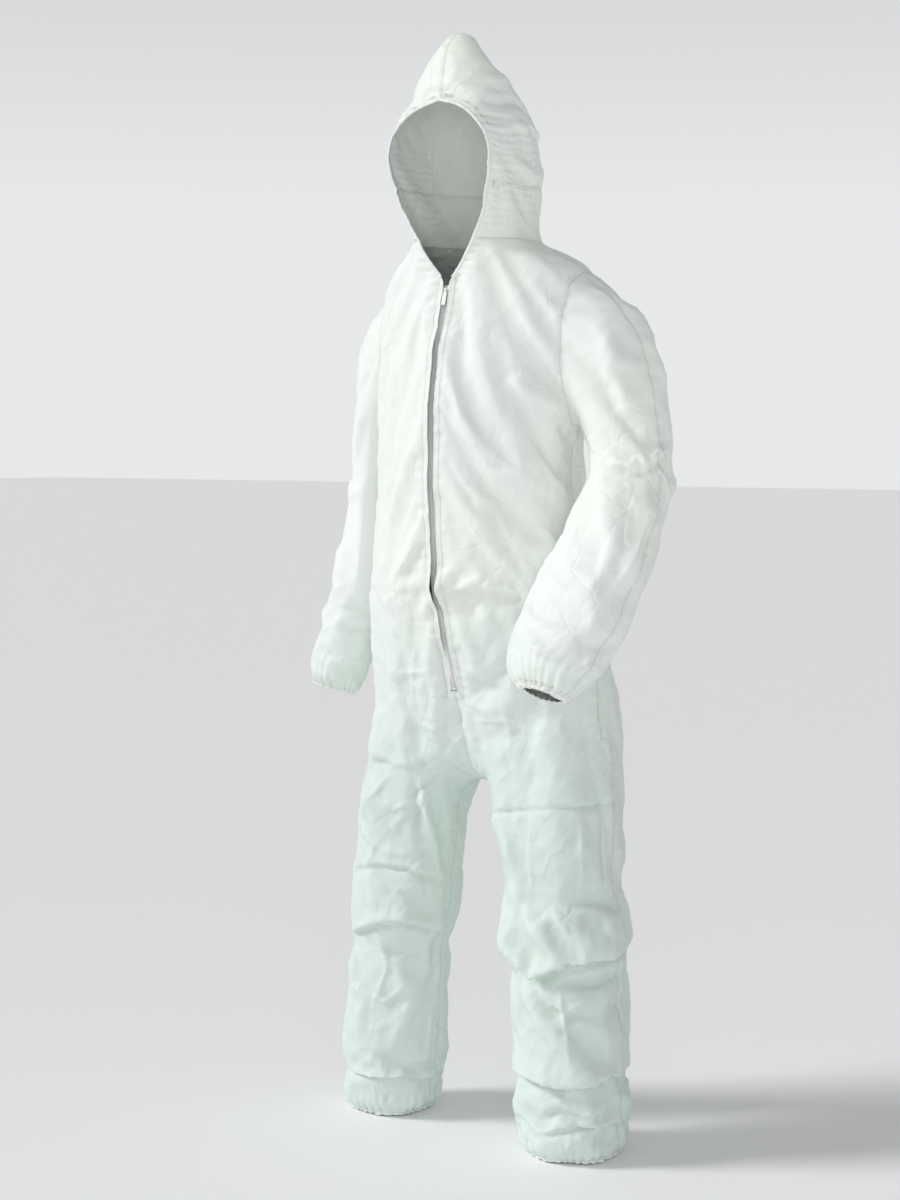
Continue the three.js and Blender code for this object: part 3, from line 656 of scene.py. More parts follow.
# The folds that shape the cloth before it settles, and the sharp creases pressed into it after.
# limb 5 is the body's front, 6 its back, 7 its left side by (y, up), 1 and 2 the sleeves, 3 and 4 the legs.
LARGE = [
    (5, [(4, -150), (50, -285), (105, -345), (170, -410), (185, -450)], 13, 6.0, "crisp"),
    (5, [(30, -300), (95, -395), (150, -455), (180, -480)], 17, -5.0, "soft"),
    (5, [(10, -380), (60, -430), (120, -470), (160, -500)], 14, 4.0, "soft"),
    (5, [(115, -215), (150, -250), (190, -285)], 12, 6.0, "soft"),
    (5, [(140, -190), (165, -230), (185, -262)], 9, -5.0, "soft"),
    (5, [(-10, -300), (-60, -370), (-110, -480)], 15, 4.5, "soft"),
    (5, [(-12, -430), (-50, -500), (-110, -560)], 12, 5.5, "soft"),
    (5, [(-8, -540), (-60, -548), (-130, -590)], 11, 5.5, "crisp"),
    (5, [(14, -556), (75, -548), (150, -566)], 13, 7.0, "lip"),
    (5, [(-40, -505), (0, -550), (50, -600)], 11, 5.0, "crisp"),
    (5, [(-45, -605), (0, -556), (60, -500)], 11, 5.5, "crisp"),
    (5, [(160, -545), (80, -575), (20, -590)], 15, -6.0, "soft"),
    (5, [(15, -600), (50, -650), (60, -720)], 16, 5.0, "soft"),
    (5, [(-15, -600), (-35, -660), (-30, -720)], 14, 4.0, "soft"),
    (5, [(-160, -672), (-80, -712), (10, -742)], 14, 5.5, "crisp"),
    (5, [(-150, -760), (-70, -742), (0, -745)], 13, 5.0, "soft"),
    (5, [(12, -742), (70, -700), (150, -645)], 17, -7.0, "soft"),
    (5, [(5, -750), (70, -745), (170, -700)], 16, 6.0, "soft"),
    (5, [(0, -740), (-4, -800), (-2, -860)], 10, -5.0, "soft"),
    (5, [(0, -850), (60, -800), (140, -770)], 15, -4.5, "soft"),
    (5, [(0, -850), (-60, -805), (-140, -790)], 13, -4.5, "soft"),
    (5, [(120, -120), (165, -160), (185, -215)], 14, 5.0, "soft"),
    (5, [(-150, -120), (-110, -180), (-100, -260)], 14, 4.0, "soft"),
    (7, [(-120, 160), (-40, 172), (30, 150)], 9, 4.0, "lip"),
    (7, [(-110, 118), (-30, 96), (40, 118)], 9, 4.5, "soft"),
    (7, [(-100, 80), (-70, 50), (-40, 30)], 8, -3.5, "soft"),
    (7, [(-120, 235), (-60, 252), (-20, 240)], 9, 3.5, "soft"),
    (7, [(-130, 200), (-60, 215), (0, 190)], 10, -3.0, "soft"),
    (6, [(-120, -90), (0, -130), (120, -90)], 26, 4.0, "soft"),
    (6, [(-150, -200), (-60, -330), (-20, -480)], 20, 5.0, "soft"),
    (6, [(150, -200), (70, -330), (20, -480)], 20, 5.0, "soft"),
    (6, [(-170, -545), (0, -528), (170, -545)], 17, 6.0, "lip"),
    (6, [(170, -610), (0, -590), (-170, -610)], 16, 4.5, "soft"),
    (6, [(-120, -640), (-30, -760), (0, -850)], 22, -5.0, "soft"),
    (6, [(120, -640), (30, -760), (0, -850)], 22, -5.0, "soft"),
    (3, [(-75, -880), (-40, -950), (-15, -1020)], 14, 6.0, "soft"),
    (3, [(-60, -1072), (0, -1050), (60, -1046), (120, -1066)], 13, -6.0, "soft"),
    (3, [(-80, -1098), (-35, -1122), (-5, -1160), (20, -1140), (60, -1124), (130, -1128)],
     26, 15.0, "lip", 9.0),
    (3, [(-40, -1015), (0, -1085), (30, -1115)], 15, 6.0, "soft"),
    (3, [(110, -1035), (85, -1075), (62, -1118)], 14, 6.0, "crisp"),
    (3, [(-80, -1330), (-35, -1318), (20, -1326), (70, -1316), (130, -1320)], 22, 11.0, "lip", 6.0),
    (3, [(-30, -1180), (10, -1240), (40, -1300)], 16, 5.0, "soft"),
    (3, [(75, -1160), (60, -1230), (72, -1300)], 13, 5.0, "crisp"),
    (3, [(120, -1195), (60, -1222), (10, -1215)], 13, -5.0, "soft"),
    (3, [(-20, -1420), (40, -1392), (110, -1400)], 14, 6.0, "lip", 3.0),
    (3, [(145, -960), (160, -1060), (145, -1150)], 18, 5.0, "soft"),
    (3, [(120, -1112), (150, -1128), (176, -1130)], 16, 5.0, "soft"),
    (3, [(-100, -1060), (-130, -1110), (-170, -1130)], 15, 7.0, "soft"),
    (4, [(-60, -836), (10, -852), (70, -838)], 12, 5.0, "lip"),
    (4, [(26, -863), (51, -965), (73, -1071)], 11, 8.0, "crisp"),
    (4, [(-60, -880), (-20, -935), (22, -985)], 12, 6.0, "crisp"),
    (4, [(-50, -960), (0, -1000), (60, -1010)], 13, 5.5, "lip"),
    (4, [(-70, -1050), (-10, -1022), (30, -1018), (90, -1062)], 15, 8.0, "lip", 4.0),
    (4, [(-60, -1166), (0, -1120), (30, -1108), (100, -1142)], 16, 9.0, "lip", 4.0),
    (4, [(-30, -1040), (10, -1080), (60, -1120)], 13, 5.0, "crisp"),
    (4, [(90, -1080), (60, -1160), (70, -1230)], 13, 6.0, "soft"),
    (4, [(-50, -1190), (-10, -1260), (-20, -1330)], 14, 5.0, "soft"),
    (4, [(20, -1170), (50, -1250), (30, -1340)], 13, 5.0, "crisp"),
    (4, [(-40, -1386), (40, -1388), (120, -1384)], 14, 9.0, "lip", 4.0),
    (4, [(145, -1000), (160, -1080), (145, -1200)], 18, 5.0, "soft"),
    (4, [(120, -1104), (150, -1120), (176, -1122)], 16, 5.0, "soft"),
    (1, [(-20, 95), (-5, 170), (-25, 245)], 14, 5.0, "soft"),
    (1, [(40, 110), (60, 200), (50, 270)], 15, 5.5, "soft"),
    (1, [(80, 160), (70, 240), (40, 300)], 13, -6.0, "soft"),
    (1, [(110, 330), (60, 345), (15, 318), (-15, 300)], 15, 8.0, "lip"),
    (1, [(120, 375), (70, 370), (30, 352)], 14, -5.0, "soft"),
    (1, [(-60, 330), (-30, 350), (0, 352)], 13, 6.0, "soft"),
    (1, [(10, 350), (22, 440), (16, 545)], 16, 4.5, "crisp"),
    (1, [(-35, 400), (-25, 480), (-35, 560)], 15, 4.0, "soft"),
    (1, [(55, 440), (48, 520), (62, 590)], 12, 3.5, "soft"),
    (1, [(150, 260), (180, 320), (200, 380)], 18, -6.0, "soft"),
    (2, [(60, 120), (75, 230), (70, 330)], 14, 5.0, "soft"),
    (2, [(110, 170), (120, 290), (112, 420)], 12, -6.0, "crisp"),
    (2, [(140, 300), (150, 420), (140, 540)], 14, 6.0, "soft"),
    (2, [(90, 330), (100, 450), (125, 560)], 13, 6.0, "crisp"),
    (2, [(30, 330), (60, 360), (100, 350)], 14, 5.0, "lip"),
    (2, [(40, 450), (70, 500), (80, 570)], 13, 4.0, "soft"),
    (2, [(-60, 200), (-40, 320), (-60, 430)], 16, 4.0, "soft"),
]

SMALL = [
    (3, [(-90, -930), (31, -897), (125, -900)], 3.5, -2.4, "crisp"),
    (3, [(1, -915), (-8, -1040)], 3.5, 2.2, "crisp"),
    (3, [(48, -905), (47, -1045)], 3.5, 2.4, "crisp"),
    (3, [(72, -905), (74, -1045)], 3.5, -2.2, "crisp"),
    (3, [(20, -1060), (38, -1110)], 4.0, 2.5, "crisp"),
    (3, [(-30, -1190), (25, -1215), (60, -1195)], 4.0, 2.5, "crisp"),
    (3, [(20, -1165), (30, -1310)], 4.0, 2.5, "crisp"),
    (3, [(100, -1150), (90, -1300)], 4.0, 2.5, "crisp"),
    (3, [(0, -1345), (40, -1380), (90, -1350)], 4.0, 2.5, "crisp"),
    (4, [(0, -870), (-30, -950)], 3.5, 2.5, "crisp"),
    (4, [(60, -860), (30, -900), (40, -990)], 3.5, -2.5, "crisp"),
    (4, [(-40, -900), (10, -930), (50, -900)], 3.5, 2.2, "crisp"),
    (4, [(-20, -1045), (30, -1065), (70, -1045)], 3.5, 2.5, "crisp"),
    (4, [(0, -1130), (20, -1200), (0, -1290)], 4.0, 2.5, "crisp"),
    (4, [(60, -1200), (20, -1260), (-40, -1240)], 4.0, 2.5, "crisp"),
    (4, [(80, -1270), (70, -1370)], 4.0, 2.5, "crisp"),
    (5, [(8, -240), (45, -300), (95, -345)], 4.0, 1.8, "crisp"),
    (5, [(20, -330), (70, -400), (120, -430)], 4.0, 1.6, "crisp"),
    (5, [(-20, -470), (-80, -540)], 4.0, 1.8, "crisp"),
    (5, [(-30, -690), (-110, -700)], 4.0, 1.8, "crisp"),
    (5, [(-60, -640), (-90, -760)], 4.0, 1.6, "crisp"),
    (5, [(90, -720), (100, -830)], 4.0, 1.4, "crisp"),
    (5, [(20, -770), (90, -765), (150, -785)], 4.0, 1.8, "crisp"),
    (5, [(-20, -800), (-90, -780)], 4.0, 1.8, "crisp"),
    (5, [(30, -560), (90, -530)], 4.0, 2.4, "crisp"),
    (1, [(15, 400), (30, 560)], 4.0, 1.6, "crisp"),
    (1, [(20, 330), (-20, 380)], 4.0, 2.0, "crisp"),
    (2, [(100, 380), (118, 540)], 4.0, 2.2, "crisp"),
]


# How the legs swell and narrow down their length: limb, level, reach up and down, and how far out,
# in millimetres.
SWELLS = [
    (3, -1030, 26, -8.0), (3, -1098, 30, 9.0), (3, -1168, 16, -9.0), (3, -1235, 30, 2.0),
    (3, -1338, 16, -6.0), (4, -1068, 34, 4.0), (4, -1172, 30, -9.0), (4, -1240, 26, -4.0),
    (4, -1345, 26, 4.0), (4, -865, 20, -4.0),
]


def swell(co, no, place):
    """Swells and narrows the legs down their length."""
    out = np.zeros(len(co))
    for limb, level, reach, height in SWELLS:
        out += (place.limb == limb) * height * MM * bump(co[:, 2] - level * MM, reach * MM)
    return co + no * out[:, None]


def press(co, no, place, folds, strength=1.0):
    """Presses the folds into the cloth."""
    out, down = np.zeros(len(co)), np.zeros(len(co))
    for limb, path, width, height, kind, *rest in folds:
        a, b = fold(place, limb, path, width, height, kind, rest[0] if rest else 0.0)
        out += a
        down += b
    moved = co + no * strength * out[:, None]
    moved[:, 2] -= strength * down
    return moved


def creased(co, size, seed):
    """Sharp ridges at scattered angles, as in a thin stiff cloth that was folded flat: 0 to 1, mostly low."""
    a = 1 - np.abs(ripple(co + 0.02 * ripple(co, 2 * size, seed + 1)[:, None], size, seed))
    b = 1 - np.abs(ripple(co, 1.7 * size, seed + 7))
    return np.clip(a, 0, 1) ** 3 * 0.7 + np.clip(b, 0, 1) ** 4 * 0.3


# ------------------------------------------------------------------ seams

def smooth_outline(rows, count=90):
    """The face opening's outline as a closed line of (x, z) in metres."""
    half = [station(rows, i / count) for i in range(count + 1)]
    right = [(max(h, 0.0), z) for z, h in half]
    line = right + [(-x, z) for x, z in reversed(right)]
    return np.array(line) * MM


OPENING = smooth_outline(FACE)


def opening_gap(x, z):
    """How far a point lies outside the face opening, seen from the front, below 0 inside it."""
    best, inside = np.full(len(x), 1e9), np.zeros(len(x), bool)
    for a, b in zip(OPENING, np.roll(OPENING, -1, axis=0)):
        d = b - a
        long = d @ d
        if long < 1e-12:
            continue
        t = np.clip(((x - a[0]) * d[0] + (z - a[1]) * d[1]) / long, 0, 1)
        best = np.minimum(best, np.hypot(x - a[0] - t * d[0], z - a[1] - t * d[1]))
        crosses = (a[1] > z) != (b[1] > z)
        inside ^= crosses & (x < a[0] + (z - a[1]) * d[0] / (d[1] if d[1] else 1e-12))
    return np.where(inside, -best, best)


def front_gap(co):
    """How far a point lies outside the face opening and the zip's slot together."""
    x, y, z = co.T
    gap = np.full(len(co), 1.0)
    near = (y < -0.02) & (z > -0.74) & (z < 0.23)
    face = opening_gap(x[near], z[near])
    slot = np.maximum(np.abs(x[near]) - ZIP_SLOT, np.maximum(z[near] + 0.060, ZIP_BOTTOM_Z * MM - z[near]))
    gap[near] = np.minimum(face, slot)
    return gap


ZIP_SLOT = 0.0065
HOOD_PLANE = -0.006
SIDE_SEAM_Y = -0.012
ARMHOLE = {"left": lambda z: 0.187 + 0.048 * (z + 0.1), "right": lambda z: 0.1765 + 0 * z}
SLEEVE_WAY = {"left": np.array([0.35, 0, -0.937]), "right": np.array([-0.35, 0, -0.937])}
SLEEVE_SPLIT = {"left": (0.353, 0.433), "right": (0.360, 0.440)}


def leg_line(co):
    return 0.347 * np.abs(co[:, 0]) - 0.938 * co[:, 2]


def nearest(*gaps):
    """Of several signed distances, the one nearest 0 at each point."""
    stack = np.stack(gaps)
    return np.take_along_axis(stack, np.abs(stack).argmin(0)[None], 0)[0]


def seam_gap(co, place):
    """Signed distance to the nearest seam, and to the waist's line."""
    x, y, z = co.T
    trunk = place.limb == 0
    side = np.where(trunk & (z < -0.03), y - SIDE_SEAM_Y, 1.0)
    centre = np.where(trunk & ((y > 0) | (z < ZIP_BOTTOM_Z * MM)) | (z > 0.19), x, 1.0)
    facing = np.where((y < 0) & trunk & (z < -0.05) & (z > -0.735), np.abs(x) - 0.0155, 1.0)
    neck = np.where(trunk, z + 0.004, 1.0)
    back_neck = np.where(trunk & (z > 0.02), z - 0.080, 1.0)
    legs = place.limb > 2
    inseam = np.where(legs & (np.abs(np.abs(place.turn) - 90) < 60), (np.abs(place.turn) - 90) * 0.0016, 1.0)
    gap = nearest(side, centre, facing, neck, back_neck, inseam)
    for number, name in ((1, "left"), (2, "right")):
        arm = (place.limb == number) | (place.limb == 0)
        hole = np.where(arm & (z > SPLIT_Z), SIGN[name] * x - ARMHOLE[name](z), 1.0)
        over = np.where(place.limb == number, (place.turn - 12) * 0.00115, 1.0)
        gap = nearest(gap, hole, over)
    waist = np.where(trunk, z - WAIST_Z * MM, 1.0)
    return gap, waist


def dress(co, no, place):
    """The small shapes that come after the cloth has settled: seams, gathers, hems and sharp creases."""
    x, y, z = co.T
    trunk = place.limb == 0
    gap, waist = seam_gap(co, place)
    out = np.zeros(len(co))
    # A seam pulls in a little, and its stitches pucker the cloth beside it.
    out -= 0.0012 * bump(gap, 0.0035)
    out += 0.0007 * ripple(co, 0.016, 21) * bump(gap, 0.013)
    # The double cloth along the zip stands proud.
    front = (y < 0) & trunk & (z < -0.05) & (z > -0.735)
    out += 0.0009 * front * smooth(0.0165, 0.0145, np.abs(x))
    wave = np.sin(z * 2 * math.pi / 0.024 + 5 * ripple(co, 0.09, 4))
    out += 0.0006 * front * wave * bump(np.abs(x) - 0.02, 0.012)
    # Gathers, fanning out from each elastic.
    turns = np.radians(place.turn)
    uneven = ripple(co, 0.06, 31)
    for number in (3, 4):
        leg = place.limb == number
        reach = bump(z - HEM_Z, 0.040)
        out += leg * reach * 0.0022 * (0.65 + 0.35 * uneven) * np.sin(30 * turns + 3.2 * uneven)
    for number, name in ((1, "left"), (2, "right")):
        arm = place.limb == number
        reach = bump(place.along - SLEEVE_LENGTH[name][-1], 0.045)
        out += arm * reach * 0.0024 * (0.7 + 0.3 * uneven) * np.sin(21 * turns + 2.6 * uneven)
    around = np.arctan2(x, -y)
    out += trunk * bump(waist, 0.026) * 0.0007 * np.sin(58 * around + 5 * ripple(co, 0.09, 11))
    out -= trunk * bump(waist, 0.007) * 0.0014
    rim = front_gap(co)
    hood = (z > -0.08) & (y < 0)
    ruched = np.sin(z * 2 * math.pi / 0.0115 + 2 * ripple(co, 0.05, 13))
    out += hood * bump(rim - 0.010, 0.011) * 0.0011 * ruched
    out += hood * smooth(0.009, 0.005, rim) * 0.0010
    # Sharp creases all over: few on the chest and hood, many on the legs.
    much = 0.0016 + 0.0016 * smooth(-0.50, -0.80, z) * (trunk | (place.limb > 2))
    out += much * (creased(co, 0.11, 51) - 0.25) + 0.45 * much * (creased(co, 0.05, 61) - 0.25)
    return co + no * out[:, None]


# ------------------------------------------------------------------ cutting and parting the cloth

def cut(bm, field):
    """Cuts the faces along the line where the field is 0, so that new points lie on the line."""
    bm.verts.ensure_lookup_table()
    bm.edges.ensure_lookup_table()
    co = np.array([v.co[:] for v in bm.verts])
    value = field(co, bm)
    ends = np.array([(e.verts[0].index, e.verts[1].index) for e in bm.edges])
    a, b = value[ends[:, 0]], value[ends[:, 1]]
    live = (np.abs(a) < 0.05) & (np.abs(b) < 0.05)
    crossing = np.nonzero(live & (a * b < 0))[0]
    hits = set()
    for edge, t in [(bm.edges[i], a[i] / (a[i] - b[i])) for i in crossing]:
        if t < 0.06:
            hits.add(edge.verts[0])
        elif t > 0.94:
            hits.add(edge.verts[1])
        else:
            hits.add(bmesh.utils.edge_split(edge, edge.verts[0], t)[1])
    faces = {f for v in hits for f in v.link_faces}
    for face in faces:
        mine = [v for v in face.verts if v in hits]
        if len(mine) == 2 and not any(set(e.verts) == set(mine) for e in face.edges):
            bmesh.utils.face_split(face, mine[0], mine[1])
    bm.verts.index_update()
    bm.edges.index_update()
    bm.faces.index_update()


def end_of(side):
    """The cuff's plane: a point in it and the way out of it."""
    middle, along = SLEEVE_STATIONS[side][-1][:2]
    return np.array(middle) * MM, np.array(along)


def only(mask, values):
    """The values where the mask holds, and far off elsewhere."""
    return np.where(mask, values, 1.0)


def cuff_gap(side):
    at, way = end_of(side)
    return lambda co: only(
        (SIGN[side] * co[:, 0] > 0.15) & (co[:, 2] > -0.80) & (co[:, 2] < -0.60), (co - at) @ way + 0.003
    )


def cut_all(mesh):
    """Cuts the cloth along its seams, its openings and the lines where it is parted into pieces."""
    bm = bmesh.new()
    bm.from_mesh(mesh)
    cut(bm, lambda co, m: front_gap(co))
    cut(bm, lambda co, m: co[:, 0])
    cut(bm, lambda co, m: co[:, 2] - HOOD_PLANE)
    cut(bm, lambda co, m: only(co[:, 2] < 0.0, co[:, 1] - SIDE_SEAM_Y))
    cut(bm, lambda co, m: leg_line(co) - 0.822)
    cut(bm, lambda co, m: leg_line(co) - 0.955)
    cut(bm, lambda co, m: -co[:, 2] - 1.4595)
    for side in SIGN:
        sign, hole = SIGN[side], ARMHOLE[side]
        way, end = SLEEVE_WAY[side], SLEEVE_SPLIT[side][1]
        gap = cuff_gap(side)
        cut(bm, lambda co, m: only(co[:, 2] > SPLIT_Z - 0.01, sign * co[:, 0] - hole(co[:, 2])))
        cut(bm, lambda co, m: only(sign * co[:, 0] > 0.15, co @ way - end))
        cut(bm, lambda co, m: gap(co) * 1.0)
    bm.to_mesh(mesh)
    bm.free()


PARTS = [
    "front_left_cloth", "front_right_cloth", "back_left_cloth", "back_right_cloth",
    "hood_left_cloth", "hood_right_cloth",
    "left_sleeve_top", "left_sleeve_lower", "right_sleeve_top", "right_sleeve_lower",
    "left_leg_top", "left_leg_lower", "right_leg_top", "right_leg_lower",
]


def part_of(middle, left, right):
    """Which part each face belongs to, or -1 where the cloth is cut away."""
    x, y, z = middle.T
    line = leg_line(middle)
    arm = {}
    for side, mark in (("left", left), ("right", right)):
        beyond = (SIGN[side] * x > ARMHOLE[side](z)) & (z > SPLIT_Z) & (z < 0.0)
        arm[side] = beyond | ((z <= SPLIT_Z) & (mark > 0.5))
    part = np.where(y < SIDE_SEAM_Y, 0, 2) + (x < 0)
    part = np.where(z > HOOD_PLANE, 4 + (x < 0), part)
    leg = (line > 0.822) & ~arm["left"] & ~arm["right"]
    part = np.where(leg, 10 + 2 * (x < 0) + (line > 0.955), part)
    for number, side in ((6, "left"), (8, "right")):
        part = np.where(arm[side], number + (middle @ SLEEVE_WAY[side] > SLEEVE_SPLIT[side][1]), part)
        part = np.where(arm[side] & (cuff_gap(side)(middle) > 0) & (cuff_gap(side)(middle) < 0.5), -1, part)
    part = np.where(leg & (z < -1.4595), -1, part)
    return np.where(front_gap(middle) < 0, -1, part)


def part_out(mesh, marks, normal, colour):
    """Parts the cloth into pieces that meet exactly, with the shading of the whole."""
    co = coords(mesh)
    loops = np.empty(len(mesh.loops), np.int64)
    mesh.loops.foreach_get("vertex_index", loops)
    start, total = np.empty(len(mesh.polygons), np.int64), np.empty(len(mesh.polygons), np.int64)
    mesh.polygons.foreach_get("loop_start", start)
    mesh.polygons.foreach_get("loop_total", total)
    face = np.repeat(np.arange(len(start)), total)

    def mean(values):
        sums = np.bincount(face, values[loops], len(start))
        return sums / total

    middle = np.stack([mean(co[:, k]) for k in range(3)], 1)
    part = part_of(middle, mean(marks["left_arm"]), mean(marks["right_arm"]))
    made = {}
    for number, name in enumerate(PARTS):
        keep = np.nonzero(part == number)[0]
        mine = loops[np.repeat(part == number, total)]
        used, index = np.unique(mine, return_inverse=True)
        piece = bpy.data.meshes.new(name)
        piece.vertices.add(len(used))
        piece.vertices.foreach_set("co", co[used].astype(np.float32).ravel())
        piece.loops.add(len(mine))
        piece.loops.foreach_set("vertex_index", index.astype(np.int32))
        piece.polygons.add(len(keep))
        starts = np.concatenate([[0], np.cumsum(total[keep])[:-1]])
        piece.polygons.foreach_set("loop_start", starts.astype(np.int32))
        piece.update(calc_edges=True)
        piece.validate()
        piece.polygons.foreach_set("use_smooth", np.ones(len(keep), bool))
        for field, values in marks.items():
            if field not in ("left_arm", "right_arm"):
                layer = piece.attributes.new(field, "FLOAT", "POINT")
                layer.data.foreach_set("value", values[used].astype(np.float32))
        tint = piece.attributes.new("shade", "FLOAT_COLOR", "POINT")
        tint.data.foreach_set("color", colour[used].astype(np.float32).ravel())
        piece.normals_split_custom_set_from_vertices(normal[used].tolist())
        obj = bpy.data.objects.new(name, piece)
        bpy.context.collection.objects.link(obj)
        made[name] = obj
    return made


# ------------------------------------------------------------------ bindings and the zip

def rims(mesh):
    """The closed lines of a mesh's open edges: each line's points in order, with the cloth's way out."""
    co, no = coords(mesh), normals(mesh)
    bm = bmesh.new()
    bm.from_mesh(mesh)
    link = {}
    for edge in bm.edges:
        if len(edge.link_faces) == 1:
            a, b = edge.verts[0].index, edge.verts[1].index
            link.setdefault(a, []).append(b)
            link.setdefault(b, []).append(a)
    bm.free()
    lines, seen = [], set()
    for first in sorted(link):
        if first in seen:
            continue
        line, here = [first], first
        seen.add(first)
        while True:
            onward = [v for v in link[here] if v not in seen]
            if not onward:
                break
            here = onward[0]
            seen.add(here)
            line.append(here)
        if len(line) > 20:
            lines.append((co[line], no[line]))
    return lines


def spread(line, step, closed):
    """Points a step apart along a line."""
    points = np.vstack([line, line[:1]]) if closed else line
    way = np.concatenate([[0], np.cumsum(np.linalg.norm(np.diff(points[:, :3], axis=0), axis=1))])
    count = max(int(way[-1] / step), 8)
    at = np.linspace(0, way[-1], count, endpoint=not closed)
    return np.stack([np.interp(at, way, points[:, k]) for k in range(points.shape[1])], 1)


def tube(name, line, wide, deep, outward, closed=True, sides=10, waver=None):
    """A piped edge along a line: wide along the cloth and deep across it."""
    count = len(line)
    if closed:
        ahead = np.roll(line, -1, axis=0) - np.roll(line, 1, axis=0)
    else:
        ahead = np.gradient(line, axis=0)
    ahead /= np.linalg.norm(ahead, axis=1, keepdims=True)
    out = outward - (outward * ahead).sum(1, keepdims=True) * ahead
    out /= np.linalg.norm(out, axis=1, keepdims=True)
    across = np.cross(ahead, out)
    turns = np.linspace(0, 2 * math.pi, sides, endpoint=False)
    size = np.ones(count) if waver is None else waver
    rings = line[:, None] + (across[:, None] * np.cos(turns)[None, :, None] * wide
                             + out[:, None] * np.sin(turns)[None, :, None] * deep) * size[:, None, None]
    faces = []
    for i in range(count if closed else count - 1):
        j = (i + 1) % count
        for k in range(sides):
            n = (k + 1) % sides
            faces.append((i * sides + k, i * sides + n, j * sides + n, j * sides + k))
    if not closed:
        faces.append(tuple(reversed(range(sides))))
        faces.append(tuple(range((count - 1) * sides, count * sides)))
    mesh = bpy.data.meshes.new(name)
    mesh.from_pydata(rings.reshape(-1, 3).tolist(), [], faces)
    mesh.polygons.foreach_set("use_smooth", np.ones(len(faces), bool))
    bm = bmesh.new()
    bm.from_mesh(mesh)
    bmesh.ops.recalc_face_normals(bm, faces=bm.faces)
    bm.to_mesh(mesh)
    bm.free()
    obj = bpy.data.objects.new(name, mesh)
    bpy.context.collection.objects.link(obj)
    return obj


def on_zip(z, depth):
    """A point of the zip's arc, that far inside it, in metres."""
    turn = math.asin((z - ZIP_FRONT_Z * MM) / (ZIP_RADIUS * MM))
    reach = ZIP_RADIUS * MM - depth
    y, z = (ZIP_FRONT_Y + ZIP_RADIUS) * MM - reach * math.cos(turn), ZIP_FRONT_Z * MM + reach * math.sin(turn)
    return np.array([0.0, y, z])


def coil(name, side):
    """One half of the zip's coil: a monofilament wound along the edge of the tape, its loops bent to lock."""
    pitch, per_turn = 0.0019, 10
    top, bottom = -0.0795, -0.7170
    count = int((top - bottom) / pitch * per_turn)
    line = []
    for i in range(count + 1):
        turn = 2 * math.pi * i / per_turn + (0 if side > 0 else math.pi)
        z = top - (top - bottom) * i / count
        middle = on_zip(z, 0.00148)
        reach = 0.00135 * math.cos(turn) + 0.0017
        line.append(middle + np.array([side * reach, 0.00072 * math.sin(turn), 0]))
    line = np.array(line)
    out = np.tile([0.0, 0.0, 1.0], (len(line), 1)) + 0.001
    return tube(name, line, 0.00036, 0.00036, out, closed=False, sides=6)


# ------------------------------------------------------------------ materials

class Shader:
    """A material's nodes, joined with short calls."""

    def __init__(self, name):
        self.material = bpy.data.materials.new(name)
        self.material.use_nodes = True
        self.tree = self.material.node_tree
        self.surface = self.tree.nodes["Principled BSDF"]

    def add(self, kind, settings=(), **inputs):
        node = self.tree.nodes.new(kind)
        for key, value in dict(settings).items():
            setattr(node, key, value)
        for key, value in inputs.items():
            self.into(node, key.replace("_", " "), value)
        return node

    def into(self, node, socket, value):
        target = node.inputs[socket] if not socket.isdigit() else node.inputs[int(socket)]
        if isinstance(value, bpy.types.NodeSocket):
            self.tree.links.new(value, target)
        else:
            target.default_value = value

    def math(self, operation, a, b=0.0, clamp=False):
        node = self.add("ShaderNodeMath", {"operation": operation, "use_clamp": clamp})
        self.into(node, "0", a)
        self.into(node, "1", b)
        return node.outputs[0]

    def noise(self, scale, detail=3.0, vector=None, rough=0.5):
        node = self.add("ShaderNodeTexNoise", Scale=scale, Detail=detail, Roughness=rough)
        if vector is not None:
            self.tree.links.new(vector, node.inputs["Vector"])
        return node.outputs["Fac"]

    def value(self, name):
        return self.add("ShaderNodeAttribute", {"attribute_name": name}).outputs["Fac"]

    def ramp(self, factor, low, high):
        node = self.add("ShaderNodeMapRange", {"interpolation_type": "SMOOTHSTEP"})
        self.into(node, "Value", factor)
        self.into(node, "From Min", low)
        self.into(node, "From Max", high)
        return node.outputs[0]

    def mix(self, factor, a, b, kind="MIX"):
        node = self.add("ShaderNodeMix", {"data_type": "RGBA", "blend_type": kind})
        for socket, value in ((0, factor), (6, a), (7, b)):
            self.into(node, str(socket), value)
        return node.outputs[2]

    def bump(self, height, distance, strength=1.0, after=None):
        node = self.add("ShaderNodeBump", Height=height, Distance=distance, Strength=strength)
        if after is not None:
            self.tree.links.new(after, node.inputs["Normal"])
        return node.outputs[0]


